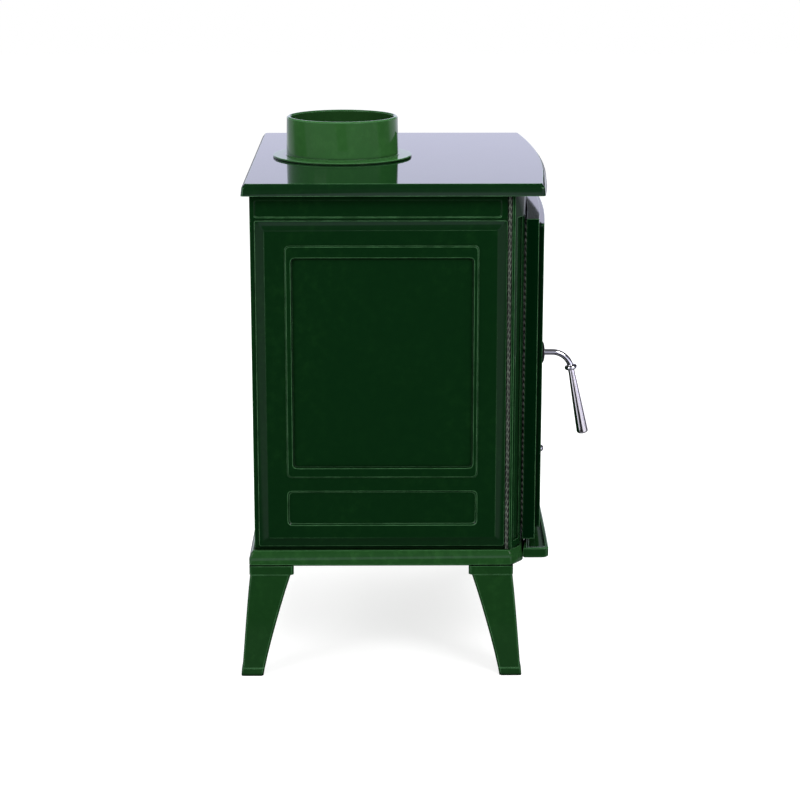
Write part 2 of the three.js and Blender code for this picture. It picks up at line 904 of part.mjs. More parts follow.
// Back plate: held between the side panels' ribs, with a raised field and two stiffening ribs
function backPlate() {
  const half = panelInner - seat;
  const [low, high] = [baseTop + seat, pocketCeiling - seat];
  const slab = box(-half, half, backFace, backInner, low, high);
  const corners = rectangle(
    -half + backFieldMargin,
    half - backFieldMargin,
    baseTop + backFieldMargin,
    rimFoot - backFieldMargin,
    mouldRadius,
  );
  const field = placed(
    moulded(corners, [
      [0, -backFace - bite],
      [0, -backFace],
      [backFieldRise, -backFace + backFieldRise],
    ]),
    new THREE.Matrix4().makeRotationX(Math.PI / 2),
  );
  const ribs = [-backRibSpread, backRibSpread].map((x) =>
    box(
      x - backRibWidth / 2,
      x + backRibWidth / 2,
      seat,
      backFace,
      baseTop + 2 * backFieldMargin,
      rimFoot - 2 * backFieldMargin,
    ),
  );
  return join(slab, field, ...ribs);
}

// Front plate: a bowed wall with canted corners, grooves for the seals and lugs for the hinge pins
function frontPlate() {
  const back = bodyDepth + seat;
  const [low, high] = [baseTop + seat, pocketCeiling - seat];
  const innerHalf = bodyHalf - frontReturn;
  const inner = [
    [-innerHalf, back - overrun, 0],
    [innerHalf, back - overrun, 0],
    [innerHalf, bodyDepth + cantStart - frontWall / 2, 0],
    ...bowLine(frontFace - frontWall, cantEnd - frontWall / 2, frontWall / 2 - cantEnd),
    [-innerHalf, bodyDepth + cantStart - frontWall / 2, 0],
  ];
  const shell = cut(prism(bodyCorners(back), low, high), prism(inner, low - overrun, high + overrun));
  const opening = prismAlongY(
    rectangle(-openingHalfWidth, openingHalfWidth, openingLow, openingHigh, openingRadius),
    back,
    frontFace + overrun,
  );
  const grooves = [1, -1].map((side) => {
    const [near, far] = [bodyHalf - sealGrooveDepth, bodyHalf + overrun].map((x) => side * x);
    const front = bodyDepth + sealGrooveWidth;
    return box(Math.min(near, far), Math.max(near, far), back - overrun, front, low, high);
  });
  return cut(join(shell, ...hingeLugs()), opening, ...grooves, ...cantStrips(), ...hingeBores());
}

// The sunk strip down each canted corner
function cantStrips() {
  const angle = Math.atan2(cantDepth, cantWidth);
  const strip = box(
    -cantStripWidth / 2,
    cantStripWidth / 2,
    -cantStripDepth,
    overrun,
    baseTop + cantStripFoot,
    rimFoot - cantStripHead,
  );
  return [1, -1].map((side) => {
    const place = new THREE.Matrix4().makeTranslation(
      side * (bodyHalf - cantWidth / 2),
      bodyDepth + cantStart + cantDepth / 2,
      0,
    );
    return placed(strip, place.multiply(new THREE.Matrix4().makeRotationZ(-side * angle)));
  });
}

// The middle height of each hinge
const hingeLevels = [baseTop + lowerHinge, rimFoot - upperHinge];
const lugOffset = (knuckleHeight + lugHeight) / 2 + seat;

function hingeLugs() {
  return hingeLevels.flatMap((level) =>
    [level - lugOffset, level + lugOffset].map((middle) => {
      const [low, high] = [middle - lugHeight / 2, middle + lugHeight / 2];
      const back = frontFace - bowDrop(hingeX) - frontWall;
      return join(
        at(rod(knuckleRadius, low, high), hingeX, hingeY),
        box(hingeX - knuckleRadius, hingeX + knuckleRadius, back, hingeY, low, high),
      );
    }),
  );
}

function hingeBores() {
  const reach = lugOffset + lugHeight;
  return hingeLevels.map((level) => at(rod(pinRadius + slack, level - reach, level + reach), hingeX, hingeY));
}

// A straight round seal in the groove between each side panel and the front plate
function jointSeal() {
  const middle = (bodyDepth + bodyDepth + sealGrooveWidth) / 2;
  const x = bodyHalf - sealGrooveDepth + sealRadius + seat + slack;
  return at(rod(sealRadius, baseTop + seat, rimFoot - seat, ropeSides), x, middle);
}

// The loop that the door's rope follows, in the groove of the door's back
function ropePath() {
  const half = doorHalfWidth - ropeInset;
  const corners = rectangle(-half, half, doorLow + ropeInset, doorHigh - ropeInset, ropeCornerRadius);
  const points = ring(corners);
  const path = [];
  points.forEach((point, i) => {
    const next = points[(i + 1) % points.length];
    const pieces = Math.abs(next.x - point.x) > half ? bowSteps : 1;
    for (let step = 0; step < pieces; step++) {
      const spot = point.clone().lerp(next, step / pieces);
      path.push(new THREE.Vector3(spot.x, frontFace + seat + ropeRadius - bowDrop(spot.x), spot.y));
    }
  });
  return path;
}

const backward = new THREE.Vector3(0, 1, 0);

// Door: a bowed plate with a raised frame, a window, an air band and guides for the shutter
function doorFrame() {
  const plate = bowedSlab(doorBack, doorFace, doorHalfWidth, doorLow, doorHigh);
  const raised = bowedPlaque(
    doorFace - bite,
    raisedFace,
    rectangle(
      doorRiseSide - doorHalfWidth,
      doorHalfWidth - doorRiseSide,
      doorLow + doorRiseFoot,
      doorHigh - doorRiseHead,
      doorRiseRadius,
    ),
  );
  const windowCorners = rectangle(-windowHalfWidth, windowHalfWidth, windowLow, windowHigh, windowRadius);
  const window = prismAlongY(windowCorners, doorBack - overrun, raisedFace + overrun);
  const step = bowedPlaque(
    raisedFace - windowStepDepth,
    raisedFace + overrun,
    rectangle(
      -windowHalfWidth - windowStep,
      windowHalfWidth + windowStep,
      windowLow - windowStep,
      windowHigh + windowStep,
      windowRadius,
    ),
  );
  const band = bowedPlaque(
    raisedFace - bandDepth,
    raisedFace + overrun,
    rectangle(-bandHalfWidth, bandHalfWidth, baseTop + bandFoot, baseTop + bandHead, bandRadius),
  );
  const lap = glassLap + glassPocket;
  const pocket = prismAlongY(
    rectangle(
      -windowHalfWidth - lap,
      windowHalfWidth + lap,
      windowLow - lap,
      windowHigh + lap,
      glassRadius,
    ),
    doorBack - 2 * overrun,
    glassSeat,
  );
  const groove = swept(ropePath(), ropeRadius + slack, ropeSides, backward, true);
  const slots = airSlotPlaces(0).map((x) => airSlot(x, doorBack - overrun, raisedFace + overrun));
  const knobSlot = prismAlongY(
    rectangle(
      -knobNeck - slack - airTravel,
      knobNeck + slack,
      knobZ - knobNeck - slack,
      knobZ + knobNeck + slack,
      knobNeck,
    ),
    doorBack - overrun,
    raisedFace + overrun,
  );
  const shaftHole = rodAlongY(
    shaftRadius + slack,
    handleX,
    handleZ,
    doorBack - 2 * overrun,
    raisedFace + overrun,
  );
  const bossRecess = rodAlongY(
    bossRadius + slack,
    handleX,
    handleZ,
    bossFoot - seat,
    raisedFace + overrun,
    turnSteps,
  );
  const screwHoles = clipPlaces().map(([x, z]) =>
    rodAlongY(screwRadius + slack, x, z, doorBack - 2 * overrun, clipFace() + seat + screwDepth + slack),
  );
  const whole = join(plate, raised, ...shutterGuides(), ...knuckles());
  const airCuts = [band, ...slots, knobSlot];
  const glassCuts = [step, window, pocket, ...screwHoles];
  return cut(whole, ...airCuts, ...glassCuts, groove, shaftHole, bossRecess, doorBore());
}

function airSlotPlaces(shift) {
  return Array.from({ length: airSlots }, (_, i) => airPitch * (i - (airSlots - 1) / 2) + shift);
}

function airSlot(x, y0, y1) {
  const half = airSlotWidth / 2;
  return prismAlongY(
    rectangle(x - half, x + half, baseTop + airSlotFoot, baseTop + airSlotHead, half / 2),
    y0,
    y1,
  );
}

// Two angle guides on the door's back that the shutter slides between
function shutterGuides() {
  const [low, high] = [baseTop + shutterFoot - slack, baseTop + shutterHead + slack];
  const half = shutterHalfLength;
  const lipBack = shutterBack - slack - guideLip;
  return [
    [low - guideWidth, low, low + guideLap],
    [high, high + guideWidth, high - guideLap],
  ].flatMap(([foot, head, lipEdge]) => [
    box(-half, half, lipBack, doorBack, foot, head),
    box(-half, half, lipBack, lipBack + guideLip, Math.min(foot, lipEdge), Math.max(head, lipEdge)),
  ]);
}

function knuckles() {
  return hingeLevels.map((level) => {
    const [low, high] = [level - knuckleHeight / 2, level + knuckleHeight / 2];
    return join(
      at(rod(knuckleRadius, low, high), hingeX, hingeY),
      box(hingeX, hingeX + knuckleArm, hingeY - knuckleRadius, hingeY + knuckleRadius / 2, low, high),
    );
  });
}

function doorBore() {
  const [lower, upper] = hingeLevels;
  return at(rod(pinRadius + slack, lower - knuckleHeight, upper + knuckleHeight), hingeX, hingeY);
}

function hingePin() {
  const headFoot = 2 * lugOffset + lugHeight + seat;
  return join(
    rod(pinRadius, 0, headFoot + bite),
    rod(pinHeadRadius, headFoot, headFoot + pinHeadHeight),
  );
}

function clipPlaces() {
  const reach = glassLap + glassPocket + (clipLength - clipLap) / 3;
  const levels = [windowLow - reach, windowHigh + reach];
  return levels.flatMap((z) => [-clipSpread, clipSpread].map((x) => [x, z]));
}

// The face of the clips that lies against the glass
function clipFace() {
  return glassBack - seat;
}

// Clip for the glass, about its screw, with its tongue upwards
function glassClip() {
  const tongue = glassPocket + (clipLength - clipLap) / 3 + clipLap;
  const tail = clipLength - tongue;
  return cut(
    prismAlongY(
      rectangle(-clipWidth / 2, clipWidth / 2, -tail, tongue, clipWidth / 4),
      clipFace() - clipThickness,
      clipFace(),
    ),
    rodAlongY(screwRadius + slack, 0, 0, clipFace() - overrun, clipFace() + overrun),
  );
}

function glassPane() {
  const corners = rectangle(
    -windowHalfWidth - glassLap,
    windowHalfWidth + glassLap,
    windowLow - glassLap,
    windowHigh + glassLap,
    glassRadius,
  );
  return prismAlongY(corners, glassBack, glassFront);
}

function glassGasket() {
  const outer = glassLap - seat;
  const inner = outer - gasketWidth;
  const loop = (reach) =>
    rectangle(
      -windowHalfWidth - reach,
      windowHalfWidth + reach,
      windowLow - reach,
      windowHigh + reach,
      glassRadius,
    );
  const front = glassFront + seat + gasketThickness;
  return cut(
    prismAlongY(loop(outer), glassFront + seat, front),
    prismAlongY(loop(inner), glassFront - overrun, front + overrun),
  );
}

// Shutter: closed at rest, with a hole for each slot of the door half a pitch away
function airShutter() {
  const [low, high] = [baseTop + shutterFoot, baseTop + shutterHead];
  const half = shutterHalfLength - airTravel / 2;
  const shift = airTravel / 2;
  const plate = box(shift - half, shift + half, shutterBack, shutterBack + shutterThickness, low, high);
  const holes = airSlotPlaces(airTravel)
    .slice(0, airSlots - 1)
    .map((x) => airSlot(x, shutterBack - overrun, doorBack + overrun));
  const stemHole = rodAlongY(knobNeck + slack, 0, knobZ, shutterBack - overrun, doorBack);
  return cut(plate, ...holes, stemHole);
}

// Knob with its stem, which is riveted to the shutter: profile from the rivet to the rounded tip
function airKnob() {
  const rivet = shutterBack - knobNeck;
  const face = raisedFace - bandDepth;
  const shoulder = face + knobStem;
  const tip = shoulder + knobLength;
  const stem = turned(
    [
      [0, rivet],
      [knobNeck + bite, rivet],
      [knobNeck + bite, shutterBack - seat],
      [knobNeck, shutterBack - seat],
      [knobNeck, face],
      [knobNeck - bite / 2, shoulder - bite],
      [knobRadius - knobRound, shoulder],
      [knobRadius, shoulder + knobRound],
      [knobRadius, tip - knobRound],
      [knobRadius - knobRound / 3, tip - knobRound / 3],
      [knobRadius - knobRound, tip],
      [0, tip],
    ],
    turnSteps / 2,
  );
  return placed(stem, new THREE.Matrix4().makeRotationX(-Math.PI / 2).setPosition(0, 0, knobZ));
}

// Domed boss that the shaft comes out of, seated in a round recess of the door's raised frame
const bossFoot = raisedFace - bowDrop(handleX - bossRadius) - bossSink;
const bossTop = bossFoot + bossHeight;

function escutcheon() {
  const boss = turned([
    [shaftRadius + slack, bossFoot],
    [bossRadius, bossFoot],
    [bossRadius, bossFoot + bossEdge],
    [bossRadius - bossEdge, bossTop - bossEdge],
    [shaftRadius + 2 * bossEdge, bossTop - bossEdge / 4],
    [shaftRadius + slack, bossTop],
  ]);
  return placed(boss, new THREE.Matrix4().makeRotationX(-Math.PI / 2).setPosition(handleX, 0, handleZ));
}

// The bent shaft of the handle, with the ring that it ends in
const bendStart = bossTop + shaftReach;
const bendTurn = Math.PI / 2 - handleTilt;
const ringSpot = new THREE.Vector3(
  handleX,
  bendStart + bendRadius * Math.sin(bendTurn),
  handleZ - bendRadius * (1 - Math.cos(bendTurn)),
);
const gripTurn = new THREE.Matrix4().makeRotationX(handleTilt - Math.PI).setPosition(ringSpot);
const camBack = doorBack - bowDrop(handleX) - camBehindDoor - camThickness;

function handleRod() {
  const path = [new THREE.Vector3(handleX, camBack - slack - camThickness / 2, handleZ)];
  for (let i = 0; i <= bendSteps; i++) {
    const angle = (bendTurn * i) / bendSteps;
    path.push(
      new THREE.Vector3(
        handleX,
        bendStart + bendRadius * Math.sin(angle),
        handleZ - bendRadius * (1 - Math.cos(angle)),
      ),
    );
  }
  const shaft = swept(path, shaftRadius, boltSides, new THREE.Vector3(1, 0, 0));
  const half = ringThickness / 2;
  const bead = Array.from({ length: ringSteps + 1 }, (_, i) => {
    const angle = Math.PI * (i / ringSteps - 1 / 2);
    return [ringRadius - half + half * Math.cos(angle), half * Math.sin(angle)];
  });
  const collar = turned([[0, -half], ...bead, [0, half]], turnSteps / 2);
  return join(shaft, placed(collar, gripTurn));
}

// The tapered grip, from the ring to its rounded foot
function handleGrip() {
  const start = ringThickness / 2 + seat;
  const end = start + gripLength;
  const waist = start + gripLength * gripWaistShare;
  const grip = turned(
    [
      [0, start],
      [gripTopRadius, start],
      [gripTopRadius, waist],
      [gripMiddleRadius, (waist + end) / 2],
      [gripFootRadius, end - 2 * gripEdge],
      [gripFootRadius, end - gripEdge],
      [gripFootRadius - gripEdge, end - gripDome / 4],
      [0, end + gripDome],
    ],
    turnSteps / 2,
  );
  return placed(grip, gripTurn);
}

// The cam behind the door: a hub with a short nose that points outwards at rest
function latchCam() {
  const nose = prismAlongY(
    [
      [0, -camHub, 0],
      [camReach, -camTip, camTip / 2],
      [camReach, camTip, camTip / 2],
      [0, camHub, 0],
    ],
    camBack,
    camBack + camThickness,
  );
  const hub = rodAlongY(camHub, 0, 0, camBack, camBack + camThickness, turnSteps / 2);
  const bore = rodAlongY(shaftRadius + seat, 0, 0, camBack - overrun, camBack + overrun);
  return at(cut(join(hub, nose), bore), handleX, 0, handleZ);
}

// Ash lip: a shallow tray along the front of the base plate
function ashLip() {
  const foot = legHeight + lipFootGap;
  const head = foot + lipHeight;
  const corner = baseCorner + lipReach;
  const sag = bowDrop(lipHalfWidth);
  const front = bowLine(0, lipHalfWidth, -lipHalfWidth, lipRadius).map(([x, y, radius]) => [
    x,
    corner + lipBow * (1 + y / sag),
    radius,
  ]);
  const back = bowLine(baseFront + seat, -lipHalfWidth, lipHalfWidth);
  const corners = [...back, ...front];
  const tray = moulded(corners, [
    [lipFootIn, foot],
    [0, foot + lipFootIn],
    [0, head - lipEdgeIn],
    [lipEdgeIn, head],
  ]);
  const hollow = moulded(corners, [
    [lipRim + lipTray / 2, head - lipTray],
    [lipRim, head - lipTray / 2],
    [lipRim, head + overrun],
  ]);
  const holes = [-lipScrewSpread, lipScrewSpread].map((x) =>
    rodAlongY(lipScrewRadius + slack, x, lipScrewZ, baseCorner - overrun, lipScrewTip(x) + slack),
  );
  return cut(join(tray, lipBosses(foot, head)), hollow.subtract(lipBosses(foot, head)), ...holes);
}

// The two thick places of the lip that its screws bite into
function lipBosses(foot, head) {
  const reach = 2 * lipScrewRadius + lipRim / 2;
  const bosses = [-lipScrewSpread, lipScrewSpread].map((x) =>
    box(
      x - reach,
      x + reach,
      baseFront + seat - bowDrop(x) + lipFootIn,
      lipScrewTip(x) + lipRim / 2,
      foot,
      head - lipTray / 2,
    ),
  );
  return join(...bosses);
}

// The seat of a lip screw's head, on the inner face of the base plate's rim, and the screw's tip
function lipScrewSeat(x) {
  return baseFront - bowDrop(x) - baseRim - 2 * seat;
}

function lipScrewTip(x) {
  return lipScrewSeat(x) + lipScrewLength;
}

// Hearth plate: the firebox's floor, notched for the tie bolts, with a rebate for the grate
function hearthPlate() {
  const half = panelInner - seat;
  const inner = half - cornerClear;
  const rear = backInner + seat;
  const plate = prism(
    [
      [-inner, rear, 0],
      [inner, rear, 0],
      [inner, brickRear - seat, 0],
      [half, brickRear - seat, 0],
      [half, brickFront, 0],
      [inner, brickFront, 0],
      [inner, hearthFront, 0],
      [-inner, hearthFront, 0],
      [-inner, brickFront, 0],
      [-half, brickFront, 0],
      [-half, brickRear - seat, 0],
      [-inner, brickRear - seat, 0],
    ],
    hearthFoot,
    hearthTop,
  );
  const [x, y0, y1] = [grateHalfWidth + slack, grateRear - slack, grateRear + grateLength + slack];
  const rebate = box(-x, x, y0, y1, hearthTop - grateLedgeDepth, hearthTop + overrun);
  const well = box(
    grateLedge - x,
    x - grateLedge,
    y0 + grateLedge,
    y1 - grateLedge,
    hearthFoot - overrun,
    hearthTop + overrun,
  );
  return cut(plate, rebate, well);
}

// Grate: a rebated plate with two rows of slots
function grate() {
  const [y0, y1] = [grateRear, grateRear + grateLength];
  const ledgeTop = hearthTop - grateLedgeDepth + seat;
  const top = ledgeTop + grateWall - grateLedgeDepth;
  const inset = grateLedge + 2 * slack;
  const lowerHalf = grateHalfWidth - inset;
  const plate = join(
    box(-grateHalfWidth, grateHalfWidth, y0, y1, ledgeTop, top),
    box(-lowerHalf, lowerHalf, y0 + inset, y1 - inset, top - grateWall, ledgeTop + bite),
  );
  const row = (grateLength - 2 * grateBorder - grateBridge * (grateRows - 1)) / grateRows;
  const pitch = (2 * (grateHalfWidth - grateBorder) - grateSlotWidth) / (grateSlots - 1);
  const slots = [];
  for (let r = 0; r < grateRows; r++) {
    for (let c = 0; c < grateSlots; c++) {
      const x = grateBorder - grateHalfWidth + pitch * c;
      const y = y0 + grateBorder + (row + grateBridge) * r;
      slots.push(box(x, x + grateSlotWidth, y, y + row, top - grateWall - overrun, top + overrun));
    }
  }
  return cut(plate, ...slots);
}

// Ash pan: a folded tray on the base plate's runners, with a tab to pull it by
function ashPan() {
  const foot = baseTop + runnerRise + seat;
  const head = foot + panHeight;
  const tray = box(-panHalfWidth, panHalfWidth, panRear, panFront, foot, head);
  const hollow = box(
    panWall - panHalfWidth,
    panHalfWidth - panWall,
    panRear + panWall,
    panFront - panWall,
    foot + panWall,
    head + overrun,
  );
  const tab = box(
    -panTabWidth / 2,
    panTabWidth / 2,
    panFront - panWall,
    panFront + panTabReach,
    head - panHeight / 3,
    head - panHeight / 3 + panWall,
  );
  return join(cut(tray, hollow), tab);
}

// Log guard: a slotted bar that stands on the hearth plate behind the door
function logGuard() {
  const front = hearthFront - guardSetback;
  const foot = hearthTop + seat;
  const bar = box(-guardHalfWidth, guardHalfWidth, front - guardWall, front, foot, foot + guardHeight);
  const pitch = (2 * guardHalfWidth - guardSlotWidth) / guardSlots;
  const slots = Array.from({ length: guardSlots }, (_, i) => {
    const x = pitch * (i - (guardSlots - 1) / 2);
    return prismAlongY(
      rectangle(
        x - guardSlotWidth / 2,
        x + guardSlotWidth / 2,
        foot + guardSlotRise,
        foot + guardSlotRise + guardSlotHeight,
        guardSlotHeight / 2 - slack,
      ),
      front - overrun,
      front + overrun,
    );
  });
  return cut(bar, ...slots);
}

const bricksFoot = hearthTop + seat;
const bricksHead = bricksFoot + brickHeight;

function sideBrick() {
  const outer = panelInner - seat;
  return box(outer - brickThickness, outer, brickRear, brickFront, bricksFoot, bricksHead);
}

function rearBrick() {
  const rear = backInner + seat;
  const half = rearBrickHalfWidth;
  return box(-half, half, rear, rear + brickThickness, bricksFoot, bricksHead);
}

function bafflePlate() {
  const half = panelInner - panelLip - seat;
  const rear = backInner + ribThickness + 2 * seat;
  const [low, high] = [bricksHead + seat, bricksHead + seat + baffleThickness];
  const inner = half - cornerClear;
  return prism(
    [
      [-inner, rear, 0],
      [inner, rear, 0],
      [inner, brickRear, 0],
      [half, brickRear, 0],
      [half, baffleFront, 0],
      [-half, baffleFront, 0],
      [-half, brickRear, 0],
      [-inner, brickRear, 0],
    ],
    low,
    high,
  );
}

// A clamp under the top plate that holds the collar down, with its bolt hole
function collarClamp() {
  const head = pocketCeiling - seat;
  return cut(
    prism(
      rectangle(-clampWidth / 2, clampWidth / 2, -clampLength / 2, clampLength / 2, clampWidth / 4),
      head - clampThickness,
      head,
    ),
    rod(collarBoltRadius + slack, head - overrun, head + overrun),
  );
}

// Castings
add("top_plate", topPlate(), enamel);
add("flue_collar", flueCollar(), enamel);
add("base_plate", basePlate(), enamel);
addPair("side_panel", sidePanel(), enamel);
add("front_plate", frontPlate(), enamel);
add("back_plate", backPlate(), enamel);
add("ash_lip", ashLip(), enamel);
addPair("joint_seal", jointSeal(), rope);

// Legs, each about its outer corner, and their bolts
const legBody = leg();
const boltSeat = legHeight - seat - legPadThickness - seat;
for (const [place, y, turn] of [
  ["front", legFront, 1],
  ["rear", legBack, -1],
]) {
  for (const [hand, side] of [
    ["left", 1],
    ["right", -1],
  ]) {
    const mesh = add(`leg_${place}_${hand}`, legBody, enamel);
    mesh.position.set(side * baseHalf, y, 0);
    mesh.scale.set(side, turn, 1);
    const screw = add(`leg_bolt_${place}_${hand}`, bolt(legBoltRadius, legBoltLength), steel);
    screw.position.set(side * (baseHalf - legBoltInset), y - turn * legBoltInset, boltSeat);
  }
}

// Tie bolts from under the base plate up to the top plate's bosses
const tieSeat = baseTop - baseSkin - seat;
const tieLength = pocketCeiling - tieEndGap - tieSeat;
for (const [place, y] of [
  ["rear", tieRear],
  ["front", tieFront],
]) {
  for (const [hand, side] of [
    ["left", 1],
    ["right", -1],
  ]) {
    const tie = add(`tie_bolt_${place}_${hand}`, bolt(tieRadius, tieLength), steel);
    tie.position.set(side * tieX, y, tieSeat);
  }
}

// What holds the flue collar and the ash lip
const clampBody = collarClamp();
const collarBoltSeat = pocketCeiling - seat - clampThickness - seat;
const collarBoltLength = topFace - collarBoltSeat - seat;
for (const [hand, side] of [
  ["left", 1],
  ["right", -1],
]) {
  add(`collar_clamp_${hand}`, clampBody, blackIron).position.set(side * fluePadReach, flueSetback, 0);
  const clampBolt = add(`collar_bolt_${hand}`, bolt(collarBoltRadius, collarBoltLength), steel);
  clampBolt.position.set(side * fluePadReach, flueSetback, collarBoltSeat);
  const lipScrew = add(`lip_screw_${hand}`, bolt(lipScrewRadius, lipScrewLength), steel);
  lipScrew.position.set(side * lipScrewSpread, lipScrewSeat(lipScrewSpread), lipScrewZ);
  lipScrew.rotation.x = -Math.PI / 2;
}

// Inside the firebox
add("hearth_plate", hearthPlate(), blackIron);
add("grate", grate(), blackIron);
add("ash_pan", ashPan(), blackIron);
add("log_guard", logGuard(), blackIron);
add("baffle_plate", bafflePlate(), brick);
addPair("firebrick", sideBrick(), brick);
add("firebrick_rear", rearBrick(), brick);

// Door with its glass, seals, hinge pins and shutter
add("door_frame", doorFrame(), enamel);
add("door_glass", glassPane(), ceramicGlass);
add("glass_gasket", glassGasket(), rope);
add("door_rope", swept(ropePath(), ropeRadius, ropeSides, backward, true), rope);
clipPlaces().forEach(([x, z], i) => {
  const name = ["lower_right", "lower_left", "upper_right", "upper_left"][i];
  const upper = z > (windowLow + windowHigh) / 2;
  const clip = add(`glass_clip_${name}`, glassClip(), blackIron);
  clip.position.set(x, 0, z);
  clip.rotation.y = upper ? Math.PI : 0;
  const clipScrew = add(`clip_screw_${name}`, bolt(screwRadius, clipThickness + screwDepth), steel);
  clipScrew.position.set(x, clipFace() - clipThickness - seat, z);
  clipScrew.rotation.x = -Math.PI / 2;
});
hingeLevels.forEach((level, i) => {
  const pin = add(`hinge_pin_${["lower", "upper"][i]}`, hingePin(), steel);
  pin.position.set(hingeX, hingeY, level - lugOffset - lugHeight / 2);
});
add("air_shutter", airShutter(), blackIron);
add("air_knob", airKnob(), chrome);

// Handle
add("escutcheon", escutcheon(), bossBlack);
add("handle_rod", handleRod(), chrome);
add("handle_grip", handleGrip(), nickel);
add("latch_cam", latchCam(), blackIron);

// The stove is turned to face -Y and stands with the middle of its outer box over the origin
const wholeStove = new THREE.Group();
wholeStove.add(stove);
stove.rotation.z = Math.PI;
wholeStove.updateMatrixWorld(true);
const outerBox = new THREE.Box3().setFromObject(wholeStove, true);
const middle = outerBox.getCenter(new THREE.Vector3());
stove.position.set(-middle.x, -middle.y, -outerBox.min.z);

export default wholeStove;
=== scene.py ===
import json
import math

import bpy
from mathutils import Matrix, Vector


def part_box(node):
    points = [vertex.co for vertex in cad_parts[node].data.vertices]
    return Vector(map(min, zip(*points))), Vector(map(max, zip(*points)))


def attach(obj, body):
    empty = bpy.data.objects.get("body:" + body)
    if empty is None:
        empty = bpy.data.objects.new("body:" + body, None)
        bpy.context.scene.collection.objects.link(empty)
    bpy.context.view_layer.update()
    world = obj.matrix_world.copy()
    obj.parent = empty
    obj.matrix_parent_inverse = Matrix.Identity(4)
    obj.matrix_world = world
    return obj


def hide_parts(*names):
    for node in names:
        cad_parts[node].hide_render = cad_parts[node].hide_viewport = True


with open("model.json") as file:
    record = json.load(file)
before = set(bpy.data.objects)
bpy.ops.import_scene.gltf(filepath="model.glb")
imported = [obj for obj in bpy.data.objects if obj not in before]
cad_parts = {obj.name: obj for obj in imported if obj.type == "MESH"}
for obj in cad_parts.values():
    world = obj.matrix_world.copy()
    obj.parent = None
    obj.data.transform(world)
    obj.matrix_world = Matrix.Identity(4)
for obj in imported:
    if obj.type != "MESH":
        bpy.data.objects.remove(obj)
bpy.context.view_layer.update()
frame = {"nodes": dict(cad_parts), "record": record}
nodes = frame["nodes"]

# Sizes in metres, for what the boxes of the frame's pieces don't tell
MM = 0.001
SEAT = 0.3 * MM
BOW_RADIUS = 2.4289
FRIEZE_DROP = 36.7 * MM
FLUE_BORE = 71 * MM
LOOP_STEP = 20 * MM

# Sizes of the seals
SEAL_RADIUS = 2.5 * MM
ROPE_RADIUS = 3 * MM
ROPE_CORNER = 12 * MM
BRAID_PITCH = 25 * MM
TAPE_WIDTH = 8 * MM
TAPE_CORNER = 8 * MM
TAPE_STEP = 1.2 * MM

# Sizes of the boss and the knob
BOSS_EDGE = 1.2 * MM
BOSS_CHAMFER = 0.3 * MM
KNOB_NECK = 3 * MM
KNOB_FOOT = 0.6 * MM
KNOB_FOOT_SIDE = 2.0 * MM
KNOB_FOOT_TOP = 2.6 * MM
KNOB_SKIRT = 4 * MM
KNOB_LIP = 0.6 * MM
KNOB_LIP_INSET = 0.5 * MM
KNOB_LIP_RISE = 0.2 * MM

# Sizes of the handle
SHAFT_RADIUS = 4 * MM
SHAFT_GAP = 0.4 * MM
SHAFT_REACH = 10.2 * MM
SHAFT_IN_BOSS = 30 * MM
BEND_RADIUS = 25.1 * MM
RING_RADIUS = 8.25 * MM
RING_THICKNESS = 6.4 * MM
GRIP_TILT = math.radians(11.2)
GRIP_LENGTH = 87.5 * MM
GRIP_TOP_RADIUS = 4.3 * MM
GRIP_FOOT_RADIUS = 7.8 * MM
GRIP_LIP = 0.7 * MM
GRIP_NECK = 7 * MM
GRIP_SWELL_POWER = 0.85
GRIP_DOME_START = 3.2 * MM
GRIP_DOME_RISE = 4.3 * MM

# Facets and shading
ROUND = 64
ON_AXIS = 1e-7
WELD_REACH = 0.02 * MM
SOFT_ANGLE = math.radians(32)
SHARP_ANGLE = math.radians(40)
FACE_WEIGHT = 80

# Enamel: its colours, and how much of each colour a lift of 1 adds. A lift above 0 is painted light, one
# below 0 painted shade.
DEEP_GREEN = (0.0026, 0.0200, 0.0048)
DEEP_GAIN = (0.0130, 0.0500, 0.0110)
THIN_GREEN = (0.0080, 0.0440, 0.0090)
THIN_GAIN = (0.0240, 0.0750, 0.0200)
# The pale green is the arris lines' colour: partly thinner enamel, partly painted highlight.
PALE_GREEN = (0.0720, 0.1950, 0.0820)
# The dark green is painted shade, for corners, grooves and the collar's bore.
SHADE_GREEN = (0.0010, 0.0036, 0.0014)

X_AXIS = Vector((1, 0, 0))
Y_AXIS = Vector((0, 1, 0))


